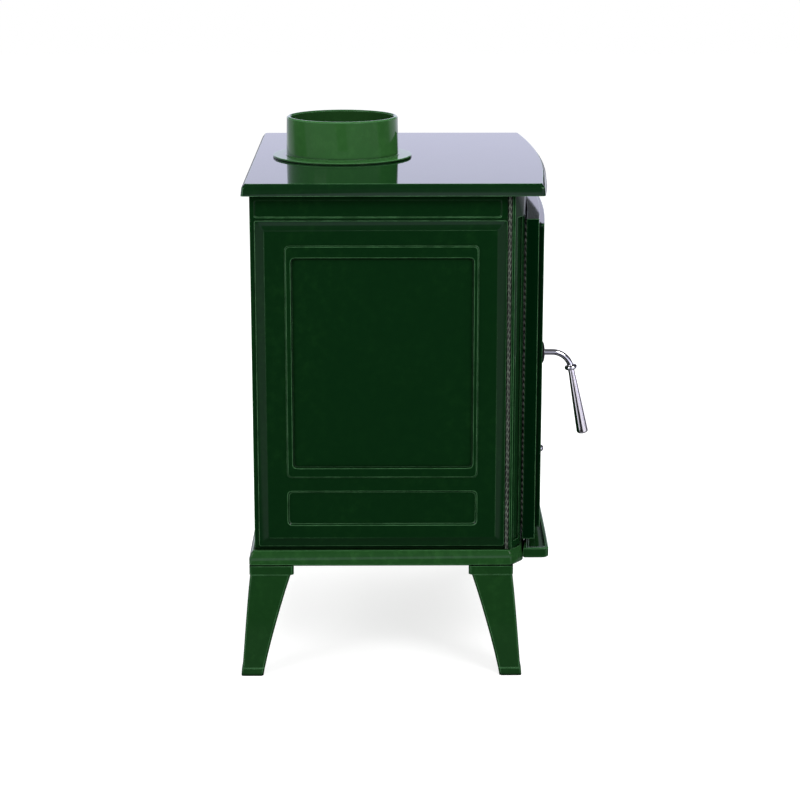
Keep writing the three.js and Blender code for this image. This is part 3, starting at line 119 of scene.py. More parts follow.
# Node trees
class Tree:
    """The node tree of a material or a world, with a short call for each kind of node."""

    def __init__(self, owner, place):
        owner.use_nodes = True
        self.nodes = owner.node_tree.nodes
        self.links = owner.node_tree.links
        self.place = self.add("ShaderNodeTexCoord").outputs[place]

    def add(self, kind, **settings):
        node = self.nodes.new(kind)
        for key, value in settings.items():
            setattr(node, key, value)
        return node

    def feed(self, socket, value):
        """Links an output to a socket, or sets the socket's value."""
        if isinstance(value, bpy.types.NodeSocket):
            self.links.new(value, socket)
        else:
            socket.default_value = value

    def calc(self, operation, first, second=0.0):
        node = self.add("ShaderNodeMath", operation=operation)
        self.feed(node.inputs[0], first)
        self.feed(node.inputs[1], second)
        return node.outputs[0]

    def vector(self, operation, first, second, result="Value"):
        node = self.add("ShaderNodeVectorMath", operation=operation)
        self.feed(node.inputs[0], first)
        self.feed(node.inputs[1], second)
        return node.outputs[result]

    def axes(self):
        """The place's coordinates, as outputs X, Y and Z."""
        node = self.add("ShaderNodeSeparateXYZ")
        self.feed(node.inputs[0], self.place)
        return node.outputs

    def span(self, value, low, high, to=(0.0, 1.0)):
        """A smooth step from the first number of to, at low, to the second, at high."""
        node = self.add("ShaderNodeMapRange", interpolation_type="SMOOTHSTEP")
        self.feed(node.inputs["Value"], value)
        node.inputs["From Min"].default_value = low
        node.inputs["From Max"].default_value = high
        node.inputs["To Min"].default_value = to[0]
        node.inputs["To Max"].default_value = to[1]
        return node.outputs["Result"]

    def blend(self, share, first, second):
        """The first colour at share 0 and the second at share 1."""
        node = self.add("ShaderNodeMix", data_type="RGBA")
        self.feed(node.inputs["Factor"], share)
        for socket, value in ((node.inputs[6], first), (node.inputs[7], second)):
            self.feed(socket, value if isinstance(value, bpy.types.NodeSocket) else (*value, 1.0))
        return node.outputs[2]


class Look(Tree):
    """A material with one Principled shader, placed by its object's own coordinates."""

    def __init__(self, name):
        self.material = bpy.data.materials.new(name)
        super().__init__(self.material, "Object")
        self.shader = self.nodes["Principled BSDF"]

    def stretched(self, scale):
        node = self.add("ShaderNodeMapping")
        self.feed(node.inputs["Vector"], self.place)
        node.inputs["Scale"].default_value = scale
        return node.outputs[0]

    def noise(self, scale, detail=3.0, roughness=0.55, place=None):
        node = self.add("ShaderNodeTexNoise")
        self.feed(node.inputs["Vector"], place or self.place)
        node.inputs["Scale"].default_value = scale
        node.inputs["Detail"].default_value = detail
        node.inputs["Roughness"].default_value = roughness
        return node.outputs["Fac"]

    def cells(self, scale):
        node = self.add("ShaderNodeTexVoronoi")
        self.feed(node.inputs["Vector"], self.place)
        node.inputs["Scale"].default_value = scale
        return node.outputs["Distance"]

    def bump(self, height, distance, strength, normal=None):
        node = self.add("ShaderNodeBump")
        self.feed(node.inputs["Height"], height)
        node.inputs["Distance"].default_value = distance
        node.inputs["Strength"].default_value = strength
        if normal:
            self.feed(node.inputs["Normal"], normal)
        return node.outputs[0]

    def rounded(self, radius):
        """The normal that the surface would have with its edges rounded."""
        node = self.add("ShaderNodeBevel", samples=6)
        node.inputs["Radius"].default_value = radius
        return node.outputs[0]

    def edges(self, radius, low=0.01, high=0.12):
        """1 on edges and corners, 0 on open faces."""
        facing = self.add("ShaderNodeNewGeometry").outputs["Normal"]
        likeness = self.vector("DOT_PRODUCT", self.rounded(radius), facing)
        return self.span(self.calc("SUBTRACT", 1.0, likeness), low, high)

    def open_air(self, reach):
        """1 in the open, less in corners and grooves."""
        node = self.add("ShaderNodeAmbientOcclusion", samples=6)
        node.inputs["Distance"].default_value = reach
        return node.outputs["AO"]

    def finish(self, colour, roughness, normal=None, **settings):
        """Sets the shader. An underscore in a setting's name stands for a space."""
        self.feed(self.shader.inputs["Base Color"], colour)
        self.feed(self.shader.inputs["Roughness"], roughness)
        if normal:
            self.feed(self.shader.inputs["Normal"], normal)
        for key, value in settings.items():
            self.shader.inputs[key.replace("_", " ")].default_value = value
        return self.material


# Looks
def below_frieze(look):
    """1 up to the lower edge of the side panels' frieze, little above it.
    It dims the pale arris lines, which are partly painted highlight, on the frieze under the top plate's
    rim.
    """
    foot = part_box("side_panel_left")[1].z - FRIEZE_DROP
    fade_start, fade_end = foot + 1.5 * MM, foot + 3 * MM
    little = 0.12
    return look.span(look.axes()["Z"], fade_start, fade_end, to=(1.0, little))


def outside_bore(look):
    """1 outside the flue collar's bore, less within it, where the enamel takes painted shade."""
    low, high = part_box("flue_collar")
    axis = ((low.x + high.x) / 2, (low.y + high.y) / 2, 0)
    fade_start, fade_end = FLUE_BORE + 0.5 * MM, FLUE_BORE + 2.5 * MM
    less = 0.42
    flat = look.vector("MULTIPLY", look.place, (1, 1, 0), "Vector")
    away = look.vector("DISTANCE", flat, axis)
    return look.span(away, fade_start, fade_end, to=(less, 1.0))


def lifted(colour, gain, lift):
    return tuple(c + g * lift for c, g in zip(colour, gain))


def enamel(name, lift, index=1.22, even=0.0, pale_edges=None, lit=None):
    """Glossy green enamel, lighter by its lift, and where it lies thin: on arrises and in patches.

    A lift above 0 makes a lit copy of the enamel, which is painted light. A lift below 0 makes a shaded
    copy, which is painted shade. The pale arris lines are partly thinner enamel and partly painted
    highlight, and corners and grooves take painted shade. A piece with an even coat shows less of the
    patches. The optional functions give the places where the pale arris lines show and where light
    reaches; where less light reaches, the colour takes painted shade.
    """
    look = Look(name)
    patch_strength = (0.10 + 0.5 * lift, 0.35 + 0.6 * lift)
    clouds = look.span(look.noise(9.0, detail=2.0), 0.40, 0.70, to=patch_strength)
    flecks = look.span(look.noise(80.0, detail=4.0, roughness=0.65), 0.42, 0.78, to=(even, 1.0))
    patchy = look.calc("MULTIPLY", flecks, clouds)
    body = look.blend(patchy, lifted(DEEP_GREEN, DEEP_GAIN, lift), lifted(THIN_GREEN, THIN_GAIN, lift))
    # Painted shade: the colour darkens towards the dark green where the given function says less light
    # reaches, such as inside the collar's bore.
    if lit:
        body = look.blend(lit(look), SHADE_GREEN, body)
    # Painted shade: the colour darkens towards the dark green in corners and grooves, by the ambient
    # occlusion.
    open_air = look.open_air(6 * MM)
    crease_shaded = look.blend(look.span(open_air, 0.50, 0.95), SHADE_GREEN, body)
    # Pale arris lines: partly thinner enamel, partly painted highlight. They are kept out of corners and
    # dimmed where the given function says.
    edges = look.edges(1.5 * MM, low=0.0015, high=0.025)
    thin_and_highlit_arris = look.calc("MULTIPLY", edges, look.span(open_air, 0.72, 0.95))
    if pale_edges:
        thin_and_highlit_arris = look.calc("MULTIPLY", thin_and_highlit_arris, pale_edges(look))
    broken = look.span(look.noise(45.0), 0.30, 0.62, to=(0.45, 1.0))
    colour = look.blend(look.calc("MULTIPLY", thin_and_highlit_arris, broken), crease_shaded, PALE_GREEN)
    roughness = look.span(look.noise(30.0, detail=4.0), 0.3, 0.8, to=(0.05, 0.08))
    peel = look.calc("ADD", look.noise(240.0, detail=2.0), look.noise(26.0, detail=2.0))
    normal = look.bump(peel, 0.02 * MM, 0.3, look.rounded(1.0 * MM))
    return look.finish(colour, roughness, normal, IOR=index)


def green_enamel():
    return enamel("green_enamel", lift=0.0, even=0.1)


def cast_surface(name, low, high, roughness_range, grain):
    """Bare cast or painted metal: grainy, worn brighter on its edges."""
    look = Look(name)
    worn_gain = 3.0
    bright = tuple(worn_gain * c for c in high)
    mottle = look.noise(18.0, detail=5.0, roughness=0.6)
    pale_edges = look.calc("MULTIPLY", look.edges(1.2 * MM), look.span(look.noise(70.0), 0.4, 0.6))
    body = look.blend(look.span(mottle, 0.3, 0.7), low, high)
    colour = look.blend(pale_edges, body, bright)
    roughness = look.span(look.noise(140.0), 0.3, 0.7, to=roughness_range)
    swells = look.calc("MULTIPLY", look.noise(60.0, detail=2.0), 1.5)
    height = look.calc("ADD", look.noise(grain), swells)
    normal = look.bump(height, 0.35 * MM, 0.5, look.rounded(0.9 * MM))
    return look.finish(colour, roughness, normal)


def bare_iron():
    dull, grey = (0.022, 0.021, 0.021), (0.050, 0.047, 0.045)
    return cast_surface("bare_iron", dull, grey, roughness_range=(0.55, 0.80), grain=520.0)


def black_sheet():
    black, grey = (0.026, 0.026, 0.027), (0.042, 0.042, 0.044)
    return cast_surface("black_sheet", black, grey, roughness_range=(0.42, 0.60), grain=900.0)


def firebrick():
    look = Look("firebrick")
    buff, brown = (0.62, 0.49, 0.33), (0.50, 0.37, 0.24)
    speck, rubbed = (0.28, 0.20, 0.13), (0.70, 0.60, 0.45)
    stain = look.span(look.noise(9.0, detail=4.0), 0.35, 0.70)
    body = look.blend(stain, buff, brown)
    specks = look.span(look.cells(420.0), 0.10, 0.22)
    colour = look.blend(specks, speck, body)
    pale_edges = look.blend(look.calc("MULTIPLY", look.edges(1.5 * MM), 0.5), colour, rubbed)
    pores = look.calc("ADD", look.span(look.cells(300.0), 0.05, 0.30), look.noise(80.0, detail=4.0))
    return look.finish(pale_edges, 0.92, look.bump(pores, 0.6 * MM, 0.6, look.rounded(1.2 * MM)))


def rope_yarn(name, low, high):
    """Dusty yarn, with painted shade that makes it nearly black between its strands."""
    look = Look(name)
    strand_shade = (0.008, 0.008, 0.008)
    dust = look.span(look.noise(45.0), 0.3, 0.7)
    body = look.blend(dust, low, high)
    fibres = look.noise(2600.0, detail=2.0)
    # Painted shade: nearly black where the ambient occlusion finds the gaps between strands.
    colour = look.blend(look.span(look.open_air(1.5 * MM), 0.35, 0.95), strand_shade, body)
    return look.finish(colour, 0.85, look.bump(fibres, 0.15 * MM, 0.8), Sheen_Weight=0.2)


def seal_rope():
    return rope_yarn("seal_rope", (0.080, 0.104, 0.076), (0.140, 0.170, 0.132))


def light_yarn():
    return rope_yarn("light_yarn", (0.300, 0.310, 0.290), (0.480, 0.480, 0.460))


def dark_yarn():
    look = Look("dark_yarn")
    black, charcoal = (0.012, 0.013, 0.012), (0.034, 0.036, 0.034)
    colour = look.blend(look.noise(60.0), black, charcoal)
    return look.finish(colour, 0.9, look.bump(look.noise(2600.0, detail=2.0), 0.15 * MM, 0.8))


def bolt_steel():
    look = Look("bolt_steel")
    dull, bright = (0.30, 0.30, 0.31), (0.44, 0.44, 0.45)
    colour = look.blend(look.span(look.noise(120.0, detail=4.0), 0.3, 0.7), dull, bright)
    roughness = look.span(look.noise(240.0), 0.3, 0.7, to=(0.28, 0.46))
    normal = look.bump(look.noise(900.0), 0.08 * MM, 0.4, look.rounded(0.5 * MM))
    return look.finish(colour, roughness, normal, Metallic=1.0)


def stove_glass():
    look = Look("stove_glass")
    clear, smoky = (0.66, 0.62, 0.56), (0.50, 0.45, 0.39)
    colour = look.blend(look.span(look.noise(14.0), 0.35, 0.75), clear, smoky)
    roughness = look.span(look.noise(40.0), 0.4, 0.8, to=(0.01, 0.06))
    normal = look.bump(look.noise(22.0), 0.1 * MM, 0.15)
    return look.finish(colour, roughness, normal, Transmission_Weight=1.0, IOR=1.5)


def boss_black():
    look = Look("boss_black")
    deep, black = (0.004, 0.004, 0.004), (0.008, 0.008, 0.009)
    colour = look.blend(look.span(look.noise(160.0), 0.3, 0.7), deep, black)
    roughness = look.span(look.noise(90.0), 0.3, 0.7, to=(0.10, 0.16))
    return look.finish(colour, roughness, look.bump(look.noise(700.0), 0.02 * MM, 0.3), IOR=1.15)


def bright_chrome():
    look = Look("bright_chrome")
    cool, warm = (0.80, 0.80, 0.81), (0.92, 0.91, 0.90)
    colour = look.blend(look.span(look.noise(85.0), 0.3, 0.7), cool, warm)
    roughness = look.span(look.noise(320.0), 0.4, 0.8, to=(0.05, 0.14))
    return look.finish(colour, roughness, look.bump(look.noise(420.0), 0.03 * MM, 0.3), Metallic=1.0)


def brushed_nickel():
    look = Look("brushed_nickel")
    dull, bright = (0.88, 0.83, 0.82), (0.98, 0.94, 0.93)
    along_the_grip = look.stretched((40.0, 40.0, 1.5))
    brushed = look.noise(40.0, detail=4.0, roughness=0.6, place=along_the_grip)
    colour = look.blend(look.span(brushed, 0.3, 0.7), dull, bright)
    roughness = look.span(brushed, 0.3, 0.8, to=(0.09, 0.17))
    return look.finish(colour, roughness, look.bump(brushed, 0.03 * MM, 0.5), Metallic=1.0)


makers = (green_enamel, bare_iron, black_sheet, firebrick, seal_rope, bolt_steel, stove_glass, boss_black,
          bright_chrome, brushed_nickel)
looks = {maker.__name__: maker() for maker in makers}
# Enamels for single pieces. The lighter copies for the flue collar, base plate and ash lip are painted
# light, and the door's darker copy is painted shade.
enamel_by_piece = {
    "flue_collar": enamel("green_enamel_collar_lit", lift=1.35, index=1.21, even=0.6, lit=outside_bore),
    "side_panel_left": enamel("green_enamel_left", lift=0.0, even=0.1, pale_edges=below_frieze),
    "side_panel_right": enamel("green_enamel_right", lift=0.0, even=0.1, pale_edges=below_frieze),
    "base_plate": enamel("green_enamel_base_lit", lift=0.8, index=1.28),
    "top_plate": enamel("green_enamel_top", lift=0.0, index=1.28),
    "ash_lip": enamel("green_enamel_lip_lit", lift=0.3, index=1.28),
    "front_plate": enamel("green_enamel_front", lift=0.0, index=1.15, even=0.1),
    "door_frame": enamel("green_enamel_door_shaded", lift=-0.17, index=1.19),
}
dark = dark_yarn()
light = light_yarn()
# The legs' lighter copy of the enamel is painted light.
lit_leg_enamel = enamel("green_enamel_legs_lit", lift=0.38, even=0.2)
slot_of = {row["node"]: row["material_slot"] for row in frame["record"]["subparts"]}


# Castings and plates keep their CAD solids, with rounded shading
def smooth_by_angle(angle):
    """A node group that shades faces smooth and keeps edges sharper than the angle."""
    group = bpy.data.node_groups.new("smooth_by_angle", "GeometryNodeTree")
    for way in ("INPUT", "OUTPUT"):
        group.interface.new_socket("Geometry", in_out=way, socket_type="NodeSocketGeometry")
    start = group.nodes.new("NodeGroupInput")
    end = group.nodes.new("NodeGroupOutput")
    turn = group.nodes.new("GeometryNodeInputMeshEdgeAngle")
    compare = group.nodes.new("FunctionNodeCompare")
    compare.operation = "LESS_THAN"
    compare.inputs["B"].default_value = angle
    edges = group.nodes.new("GeometryNodeSetShadeSmooth")
    edges.domain = "EDGE"
    faces = group.nodes.new("GeometryNodeSetShadeSmooth")
    faces.domain = "FACE"
    plain = group.nodes.new("GeometryNodeRemoveAttribute")
    plain.inputs["Name"].default_value = "custom_normal"
    group.links.new(turn.outputs["Unsigned Angle"], compare.inputs["A"])
    group.links.new(start.outputs[0], plain.inputs["Geometry"])
    group.links.new(plain.outputs[0], edges.inputs["Geometry"])
    group.links.new(compare.outputs["Result"], edges.inputs["Shade Smooth"])
    group.links.new(edges.outputs[0], faces.inputs["Geometry"])
    group.links.new(faces.outputs[0], end.inputs[0])
    return group


soft_shading = smooth_by_angle(SOFT_ANGLE)


def dress(name):
    """A carried-over node gets its slot's material and smooth shading on its curves."""
    piece = nodes[name]
    piece.data.materials.clear()
    look = lit_leg_enamel if name.startswith("leg_") and "bolt" not in name else looks[slot_of[name]]
    piece.data.materials.append(enamel_by_piece.get(name, look))
    weld = piece.modifiers.new("weld", "WELD")
    weld.merge_threshold = WELD_REACH
    shade = piece.modifiers.new("shade", "NODES")
    shade.node_group = soft_shading
    even = piece.modifiers.new("even", "WEIGHTED_NORMAL")
    even.keep_sharp = True
    even.weight = FACE_WEIGHT


# New pieces
def add_piece(name, vertices, faces, body, like):
    """A mesh that rides on a body and takes the slot of the CAD node that it stands for."""
    mesh = bpy.data.meshes.new(name)
    mesh.from_pydata([tuple(v) for v in vertices], [], faces)
    mesh.validate()
    mesh.shade_smooth()
    mesh.set_sharp_from_angle(angle=SHARP_ANGLE)
    mesh.materials.append(looks[slot_of[like]])
    piece = bpy.data.objects.new(name, mesh)
    bpy.context.scene.collection.objects.link(piece)
    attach(piece, body)
    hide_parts(like)
    return piece


def lathe(profile, place, sides=ROUND):
    """Vertices and faces of a profile of (radius, height) points turned about its height."""
    vertices, rows = [], []
    for radius, height in profile:
        count = 1 if radius < ON_AXIS else sides
        rows.append(list(range(len(vertices), len(vertices) + count)))
        for i in range(count):
            angle = 2 * math.pi * i / sides
            vertices.append(place @ Vector((radius * math.cos(angle), radius * math.sin(angle), height)))
    faces = []
    for low, high in zip(rows, rows[1:]):
        for i in range(sides):
            j = (i + 1) % sides
            corners = [low[i % len(low)], low[j % len(low)], high[j % len(high)], high[i % len(high)]]
            faces.append(tuple(dict.fromkeys(corners)))
    return vertices, faces


def joined(*shapes):
    """Several (vertices, faces) pairs as one."""
    vertices, faces = [], []
    for points, rows in shapes:
        faces += [tuple(len(vertices) + i for i in row) for row in rows]
        vertices += points
    return vertices, faces


def heading(path, i, closed):
    """The direction of a path at its point i."""
    ahead = path[(i + 1) % len(path)] if closed or i + 1 < len(path) else path[i]
    behind = path[i - 1] if closed or i > 0 else path[i]
    return (ahead - behind).normalized()


def tube(path, across, rings, closed=False):
    """Skins a path. Each ring is a list of (across, up) offsets, and across is square to the path."""
    vertices, faces = [], []
    count = len(path)
    sides = len(rings[0])
    for i, spot in enumerate(path):
        up = heading(path, i, closed).cross(across).normalized()
        vertices += [spot + across * a + up * b for a, b in rings[i % len(rings)]]
    for i in range(count if closed else count - 1):
        for j in range(sides):
            k = (j + 1) % sides
            start, end = i * sides, ((i + 1) % count) * sides
            faces.append((start + j, end + j, end + k, start + k))
    if not closed:
        faces.append(tuple(range(sides)))
        faces.append(tuple((count - 1) * sides + j for j in reversed(range(sides))))
    return vertices, faces


def circle(radius, sides):
    angles = [2 * math.pi * i / sides for i in range(sides)]
    return [(radius * math.cos(angle), radius * math.sin(angle)) for angle in angles]


def arc(centre, radius, start, end, steps):
    """Points on a circle about (radius, height) centre, from one angle to another, in degrees."""
    out = []
    for i in range(steps + 1):
        angle = math.radians(start + (end - start) * i / steps)
        out.append((centre[0] + radius * math.cos(angle), centre[1] + radius * math.sin(angle)))
    return out


def evenly(path, step, closed):
    """Points at even steps along a path, and the path's length."""
    points = path + [path[0]] if closed else path
    lengths = [0.0]
    for a, b in zip(points, points[1:]):
        lengths.append(lengths[-1] + (b - a).length)
    count = max(2, round(lengths[-1] / step))
    spots, k = [], 0
    for i in range(count if closed else count + 1):
        goal = lengths[-1] * i / count
        while k < len(lengths) - 2 and lengths[k + 1] < goal:
            k += 1
        share = (goal - lengths[k]) / (lengths[k + 1] - lengths[k])
        spots.append(points[k].lerp(points[k + 1], min(1.0, share)))
    return spots, lengths[-1]


def braid(path, radius, across, closed):
    """Strands that wind both ways round a core and pass over and under each other.

    Gives the strands of one way with the core, and those of the other way.
    """
    each_way, steps, strand_sides, core_sides = 3, 18, 5, 8
    strand, lift, core_radius = 0.30 * radius, 0.13 * radius, 0.62 * radius
    helix = radius - strand - lift
    spots, length = evenly(path, BRAID_PITCH / steps, closed)
    turns = max(1, round(length / BRAID_PITCH))
    halves = []
    for way in (1, -1):
        shapes = []
        for k in range(each_way):
            line = []
            for i, spot in enumerate(spots):
                up = heading(spots, i, closed).cross(across).normalized()
                turned = 2 * math.pi * turns * i / len(spots)
                reach = helix + way * lift * math.cos(each_way * turned)
                angle = way * turned + 2 * math.pi * k / each_way
                line.append(spot + across * (reach * math.cos(angle)) + up * (reach * math.sin(angle)))
            shapes.append(tube(line, across, [circle(strand, strand_sides)], closed))
        halves.append(joined(*shapes))
    core = tube(spots, across, [circle(core_radius, core_sides)], closed)
    return joined(halves[0], core), halves[1]


def add_braid(name, path, radius, across, closed, body, like):
    """A braid of the slot's yarn, with the strands of one way in dark yarn."""
    one_way, crossing = braid(path, radius, across, closed)
    piece = add_piece(name, *joined(one_way, crossing), body, like)
    piece.data.materials.append(dark)
    for face in piece.data.polygons[len(one_way[1]):]:
        face.material_index = 1
    return piece


def rounded_loop(x, low, high, radius, steps=8):
    """(x, z) points round a rectangle with round corners, from -x to x and from low to high."""
    points = []
    for cx, cz, start in ((x - radius, high - radius, 0), (radius - x, high - radius, 1),
                          (radius - x, low + radius, 2), (x - radius, low + radius, 3)):
        for i in range(steps + 1):
            angle = math.pi / 2 * (start + i / steps)
            points.append((cx + radius * math.cos(angle), cz + radius * math.sin(angle)))
    return points


def bow_drop(x):
    """How far the bowed front lies behind its middle, at a distance x from it."""
    return BOW_RADIUS - math.sqrt(BOW_RADIUS ** 2 - x ** 2)


def divided(points):
    """The same loop with long stretches cut up, so that they can follow the bow."""
    out = []
    for a, b in zip(points, points[1:] + points[:1]):
        parts = max(1, math.ceil(math.dist(a, b) / LOOP_STEP))
        out += [(a[0] + (b[0] - a[0]) * i / parts, a[1] + (b[1] - a[1]) * i / parts) for i in range(parts)]
    return out


def joint_seals():
    for side in ("left", "right"):
        node = f"joint_seal_{side}"
        low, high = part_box(node)
        middle = (low + high) / 2
        ends = [Vector((middle.x, middle.y, low.z)), Vector((middle.x, middle.y, high.z))]
        add_braid(f"braid_{node}", ends, SEAL_RADIUS, X_AXIS, False, "stove", node)


def door_rope():
    """The rope round the door's opening, of light and dark yarn, bent with the bow."""
    low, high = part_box("door_rope")
    front = low.y + ROPE_RADIUS
    loop = rounded_loop(high.x - ROPE_RADIUS, low.z + ROPE_RADIUS, high.z - ROPE_RADIUS, ROPE_CORNER)
    path = [Vector((x, front + bow_drop(x), z)) for x, z in divided(loop)]
    rope = add_braid("braid_door_rope", path, ROPE_RADIUS, Y_AXIS, True, "door", "door_rope")
    rope.data.materials[0] = light


def glass_gasket():
    """A flat tape with a rounded section that swells and shrinks with its weave."""
    low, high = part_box("glass_gasket")
    half_width, half_thick = TAPE_WIDTH / 2, (high.y - low.y) / 2
    loop = rounded_loop(high.x - half_width, low.z + half_width, high.z - half_width, TAPE_CORNER)
    path = [Vector((x, (low.y + high.y) / 2, z)) for x, z in divided(loop)]
    spots = evenly(path, TAPE_STEP, True)[0]
    sides, weave_depth, squareness, threads = 16, 0.10, 0.6, 3
    rings = []
    for i in range(len(spots)):
        ring = []
        for j in range(sides):
            angle = 2 * math.pi * j / sides
            weave = 1 - weave_depth * (1 + math.sin(math.pi * i / 2 + threads * angle))
            flat = abs(math.cos(angle)) ** squareness * math.copysign(1, math.cos(angle))
            wide = abs(math.sin(angle)) ** squareness * math.copysign(1, math.sin(angle))
            ring.append((half_thick * flat * weave, half_width * wide * (0.5 + weave / 2)))
        rings.append(ring)
    add_piece("tape_glass_gasket", *tube(spots, Y_AXIS, rings, True), "door", "glass_gasket")


def towards_front(low, high):
    """Puts a lathe's axis on a box's middle, from its back face to the stove's front."""
    middle = (low + high) / 2
    return Matrix.Translation((middle.x, high.y, middle.z)) @ Matrix.Rotation(math.pi / 2, 4, "X")


def escutcheon():
    low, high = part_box("escutcheon")
    radius = (high.x - low.x) / 2
    height = high.y - low.y
    bore = SHAFT_RADIUS + SHAFT_GAP
    profile = [(bore, 0), (radius - BOSS_CHAMFER, 0), (radius, BOSS_CHAMFER)]
    steps = 14
    for i in range(steps + 1):
        angle = math.pi / 2 * i / steps
        reach = (radius - bore) * math.cos(angle)
        profile.append((bore + reach, BOSS_EDGE + (height - BOSS_EDGE) * math.sin(angle)))
    profile += [(bore, height), (bore, 0)]
    add_piece("dome_escutcheon", *lathe(profile, towards_front(low, high)), "door", "escutcheon")


def air_knob():
    low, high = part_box("air_knob")
    radius = (high.x - low.x) / 2
    length = high.y - low.y
    ball = length - radius
    skirt = ball - KNOB_SKIRT
    foot = KNOB_NECK + KNOB_FOOT
    profile = [(0, 0), (foot, 0), (foot, KNOB_FOOT_SIDE), (KNOB_NECK, KNOB_FOOT_TOP), (KNOB_NECK, skirt)]
    profile.append((radius - KNOB_LIP_INSET, skirt + KNOB_LIP_RISE))
    profile += arc((radius - KNOB_LIP, skirt + KNOB_LIP_RISE + KNOB_LIP), KNOB_LIP, -60, 0, 4)
    profile.append((radius, ball))
    profile += arc((0, ball), radius, 4, 90, 14)
    profile[-1] = (0, length)
    shape = lathe(profile, towards_front(low, high), sides=48)
    add_piece("turned_air_knob", *shape, "air_slider", "air_knob")


def rod_path():
    """The rod's axis out of the boss and round its bend, down to the ring."""
    low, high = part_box("handle_rod")
    x = (low.x + high.x) / 2
    z = high.z - SHAFT_RADIUS
    bend = math.pi / 2 - GRIP_TILT
    bend_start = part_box("escutcheon")[0].y - SHAFT_REACH
    steps = 28
    path = [Vector((x, high.y, z)), Vector((x, high.y - SHAFT_IN_BOSS, z))]
    for i in range(steps + 1):
        angle = bend * i / steps
        drop = BEND_RADIUS * (1 - math.cos(angle))
        path.append(Vector((x, bend_start - BEND_RADIUS * math.sin(angle), z - drop)))
    return path


def handle_rod(path, place):
    """The bent rod and the ring at its end."""
    half = RING_THICKNESS / 2
    ring = [(0, -half)] + arc((RING_RADIUS - half, 0), half, -90, 90, 16) + [(0, half)]
    shaft = tube(path, X_AXIS, [circle(SHAFT_RADIUS, 32)])
    add_piece("bent_handle_rod", *joined(shaft, lathe(ring, place)), "handle", "handle_rod")


def handle_grip(place):
    """The grip, which swells towards its domed foot."""
    start = RING_THICKNESS / 2 + SEAT
    end = start + GRIP_LENGTH
    neck_end = start + GRIP_NECK
    dome_start = end - GRIP_DOME_START
    lip = GRIP_TOP_RADIUS - GRIP_LIP
    grip = [(0, start), (lip, start)] + arc((lip, start + GRIP_LIP), GRIP_LIP, -90, 0, 5)
    swell_steps, dome_steps = 24, 12
    for i in range(swell_steps + 1):
        share = i / swell_steps
        swell = (GRIP_FOOT_RADIUS - GRIP_TOP_RADIUS) * share ** GRIP_SWELL_POWER
        grip.append((GRIP_TOP_RADIUS + swell, neck_end + (dome_start - neck_end) * share))
    for i in range(1, dome_steps + 1):
        angle = math.pi / 2 * i / dome_steps
        grip.append((GRIP_FOOT_RADIUS * math.cos(angle), dome_start + GRIP_DOME_RISE * math.sin(angle)))
    grip[-1] = (0, grip[-1][1])
    add_piece("turned_handle_grip", *lathe(grip, place), "handle", "handle_grip")


def handle():
    path = rod_path()
    place = Matrix.Translation(path[-1]) @ Matrix.Rotation(math.pi - GRIP_TILT, 4, "X")
    handle_rod(path, place)
    handle_grip(place)


joint_seals()
door_rope()
glass_gasket()
escutcheon()
air_knob()
handle()
for name, node in nodes.items():
    if not node.hide_render:
        dress(name)


# Studio: a pale floor, a white surround and soft lamps
def floor():
    """A pale floor. Gloss sees strips on it instead, dark along both axes and bright between them.

    On the stove's right the dark strip is brighter and the places before and behind are dimmer.
    Close to the stove the strips are lit a little too.
    """
    size = 9.0
    corners = [(-size, -size, 0), (size, -size, 0), (size, size, 0), (-size, size, 0)]
    mesh = bpy.data.meshes.new("floor")
    mesh.from_pydata(corners, [], [(0, 1, 2, 3)])
    look = Look("floor")
    grey, pale = (0.50, 0.50, 0.50), (0.54, 0.54, 0.54)
    look.finish(look.blend(look.noise(3.0), grey, pale), 0.9)
    look.shader.inputs["Specular IOR Level"].default_value = 0.0

    axes = look.axes()
    across, along = (look.calc("ABSOLUTE", axes[axis]) for axis in ("X", "Y"))
    near = look.calc("MINIMUM", across, along)
    far = look.calc("MAXIMUM", across, along)
    slope = look.calc("DIVIDE", across, along)
    strip_fan, strip_width, strip_floor = 0.13, 0.28, 0.015
    bright_level, right_dimming, beyond_level, close_level = 0.95, 0.8, 0.4, 0.20
    strip = look.calc("ADD", look.calc("MULTIPLY", far, strip_fan), strip_width)
    off_axis = look.span(look.calc("DIVIDE", near, strip), 0.75, 1.4)
    right = look.span(axes["X"], -0.2, 0.2, to=(0.0, right_dimming))
    dimmed = look.calc("MULTIPLY", right, look.span(slope, 0.35, 0.65, to=(1.0, 0.0)))
    level = look.calc("SUBTRACT", bright_level, dimmed)
    strips = look.calc("ADD", look.calc("MULTIPLY", off_axis, level), strip_floor)
    beyond = look.span(slope, 1.0, 2.0, to=(0.0, beyond_level))
    beyond = look.calc("MULTIPLY", look.span(axes["X"], 0.3, 0.8), beyond)
    close = look.span(far, 0.55, 0.75, to=(close_level, 0.0))

    camera_glow = 0.72
    card_tint = (0.86, 0.87, 1.0, 1.0)
    rays = look.add("ShaderNodeLightPath")
    glow = look.add("ShaderNodeEmission")
    lit = look.add("ShaderNodeAddShader")
    card = look.add("ShaderNodeEmission")
    seen = look.add("ShaderNodeMixShader")
    look.feed(glow.inputs["Strength"], look.calc("MULTIPLY", rays.outputs["Is Camera Ray"], camera_glow))
    look.feed(card.inputs["Color"], card_tint)
    look.feed(card.inputs["Strength"], look.calc("MAXIMUM", strips, look.calc("MAXIMUM", beyond, close)))
    look.feed(lit.inputs[0], look.shader.outputs[0])
    look.feed(lit.inputs[1], glow.outputs[0])
    look.feed(seen.inputs["Fac"], rays.outputs["Is Glossy Ray"])
    look.feed(seen.inputs[1], lit.outputs[0])
    look.feed(seen.inputs[2], card.outputs[0])
    look.feed(look.nodes["Material Output"].inputs["Surface"], seen.outputs[0])

    mesh.materials.append(look.material)
    plane = bpy.data.objects.new("floor", mesh)
    bpy.context.scene.collection.objects.link(plane)


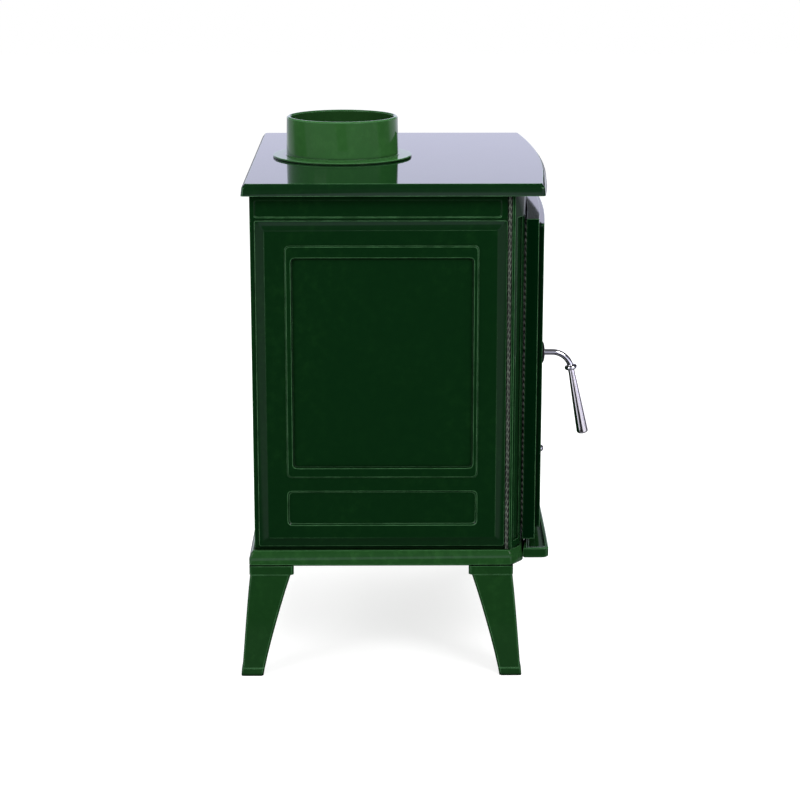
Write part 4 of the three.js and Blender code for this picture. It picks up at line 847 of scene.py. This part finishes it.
def surround():
    """White for the camera and plain soft light for matt surfaces.

    Gloss sees a bright low wall, a dim one above it and a dark top, with a dark flag at the stove's
    front right and dark ground.
    """
    world = bpy.data.worlds.new("surround")
    bpy.context.scene.world = world
    tree = Tree(world, "Generated")
    white, soft, ground = (1.0, 1.0, 1.0), (0.55, 0.55, 0.55), (0.02, 0.02, 0.02)
    bright, dim, dark_top = (1.22, 1.21, 1.56), (0.22, 0.23, 0.27), (0.10, 0.10, 0.11)
    flag_tone = (0.03, 0.03, 0.04)
    axes = tree.axes()
    rays = tree.add("ShaderNodeLightPath")
    low_wall = tree.blend(tree.span(axes["Z"], 0.17, 0.25), bright, dim)
    wall = tree.blend(tree.span(axes["Z"], 0.35, 0.60), low_wall, dark_top)
    flag = tree.blend(tree.span(axes["Y"], -0.45, -0.25, to=(1.0, 0.0)), wall, flag_tone)
    wall = tree.blend(tree.span(axes["X"], -0.30, 0.0), wall, flag)
    gloss = tree.blend(tree.span(axes["Z"], -0.03, 0.0), ground, wall)
    lit = tree.blend(rays.outputs["Is Glossy Ray"], soft, gloss)
    seen = tree.blend(rays.outputs["Is Camera Ray"], lit, white)
    tree.feed(tree.nodes["Background"].inputs["Color"], seen)


def softbox(name, spot, size, power, reflected=False):
    """A square lamp that faces the stove and that the camera doesn't see."""
    stove_middle = Vector((0, 0.02, 0.35))
    lamp = bpy.data.lights.new(name, "AREA")
    lamp.shape = "SQUARE"
    lamp.size = size
    lamp.energy = power
    piece = bpy.data.objects.new(name, lamp)
    piece.location = spot
    piece.rotation_euler = (stove_middle - Vector(spot)).to_track_quat("-Z", "Y").to_euler()
    piece.visible_camera = False
    piece.visible_glossy = reflected
    bpy.context.scene.collection.objects.link(piece)


def camera():
    """The photograph's view of the stove's left side."""
    spot = (-2.986, 0.0417, 1.0574)
    tilt, turn = math.radians(75.93), math.radians(-90.46)
    lens = bpy.data.cameras.new("camera")
    lens.lens = 97.84
    lens.sensor_width = 36
    piece = bpy.data.objects.new("camera", lens)
    piece.location = spot
    piece.rotation_euler = (tilt, 0, turn)
    bpy.context.scene.collection.objects.link(piece)
    bpy.context.scene.camera = piece


floor()
surround()
softbox("key", spot=(-2.3, -1.6, 2.3), size=1.2, power=45, reflected=True)
softbox("fill", spot=(-2.0, 2.2, 1.9), size=1.4, power=30, reflected=True)
softbox("overhead", spot=(0.4, 0.0, 3.0), size=2.2, power=45)
softbox("right", spot=(2.4, -0.8, 2.1), size=1.4, power=30)
camera()
bpy.context.scene.view_settings.view_transform = "Standard"
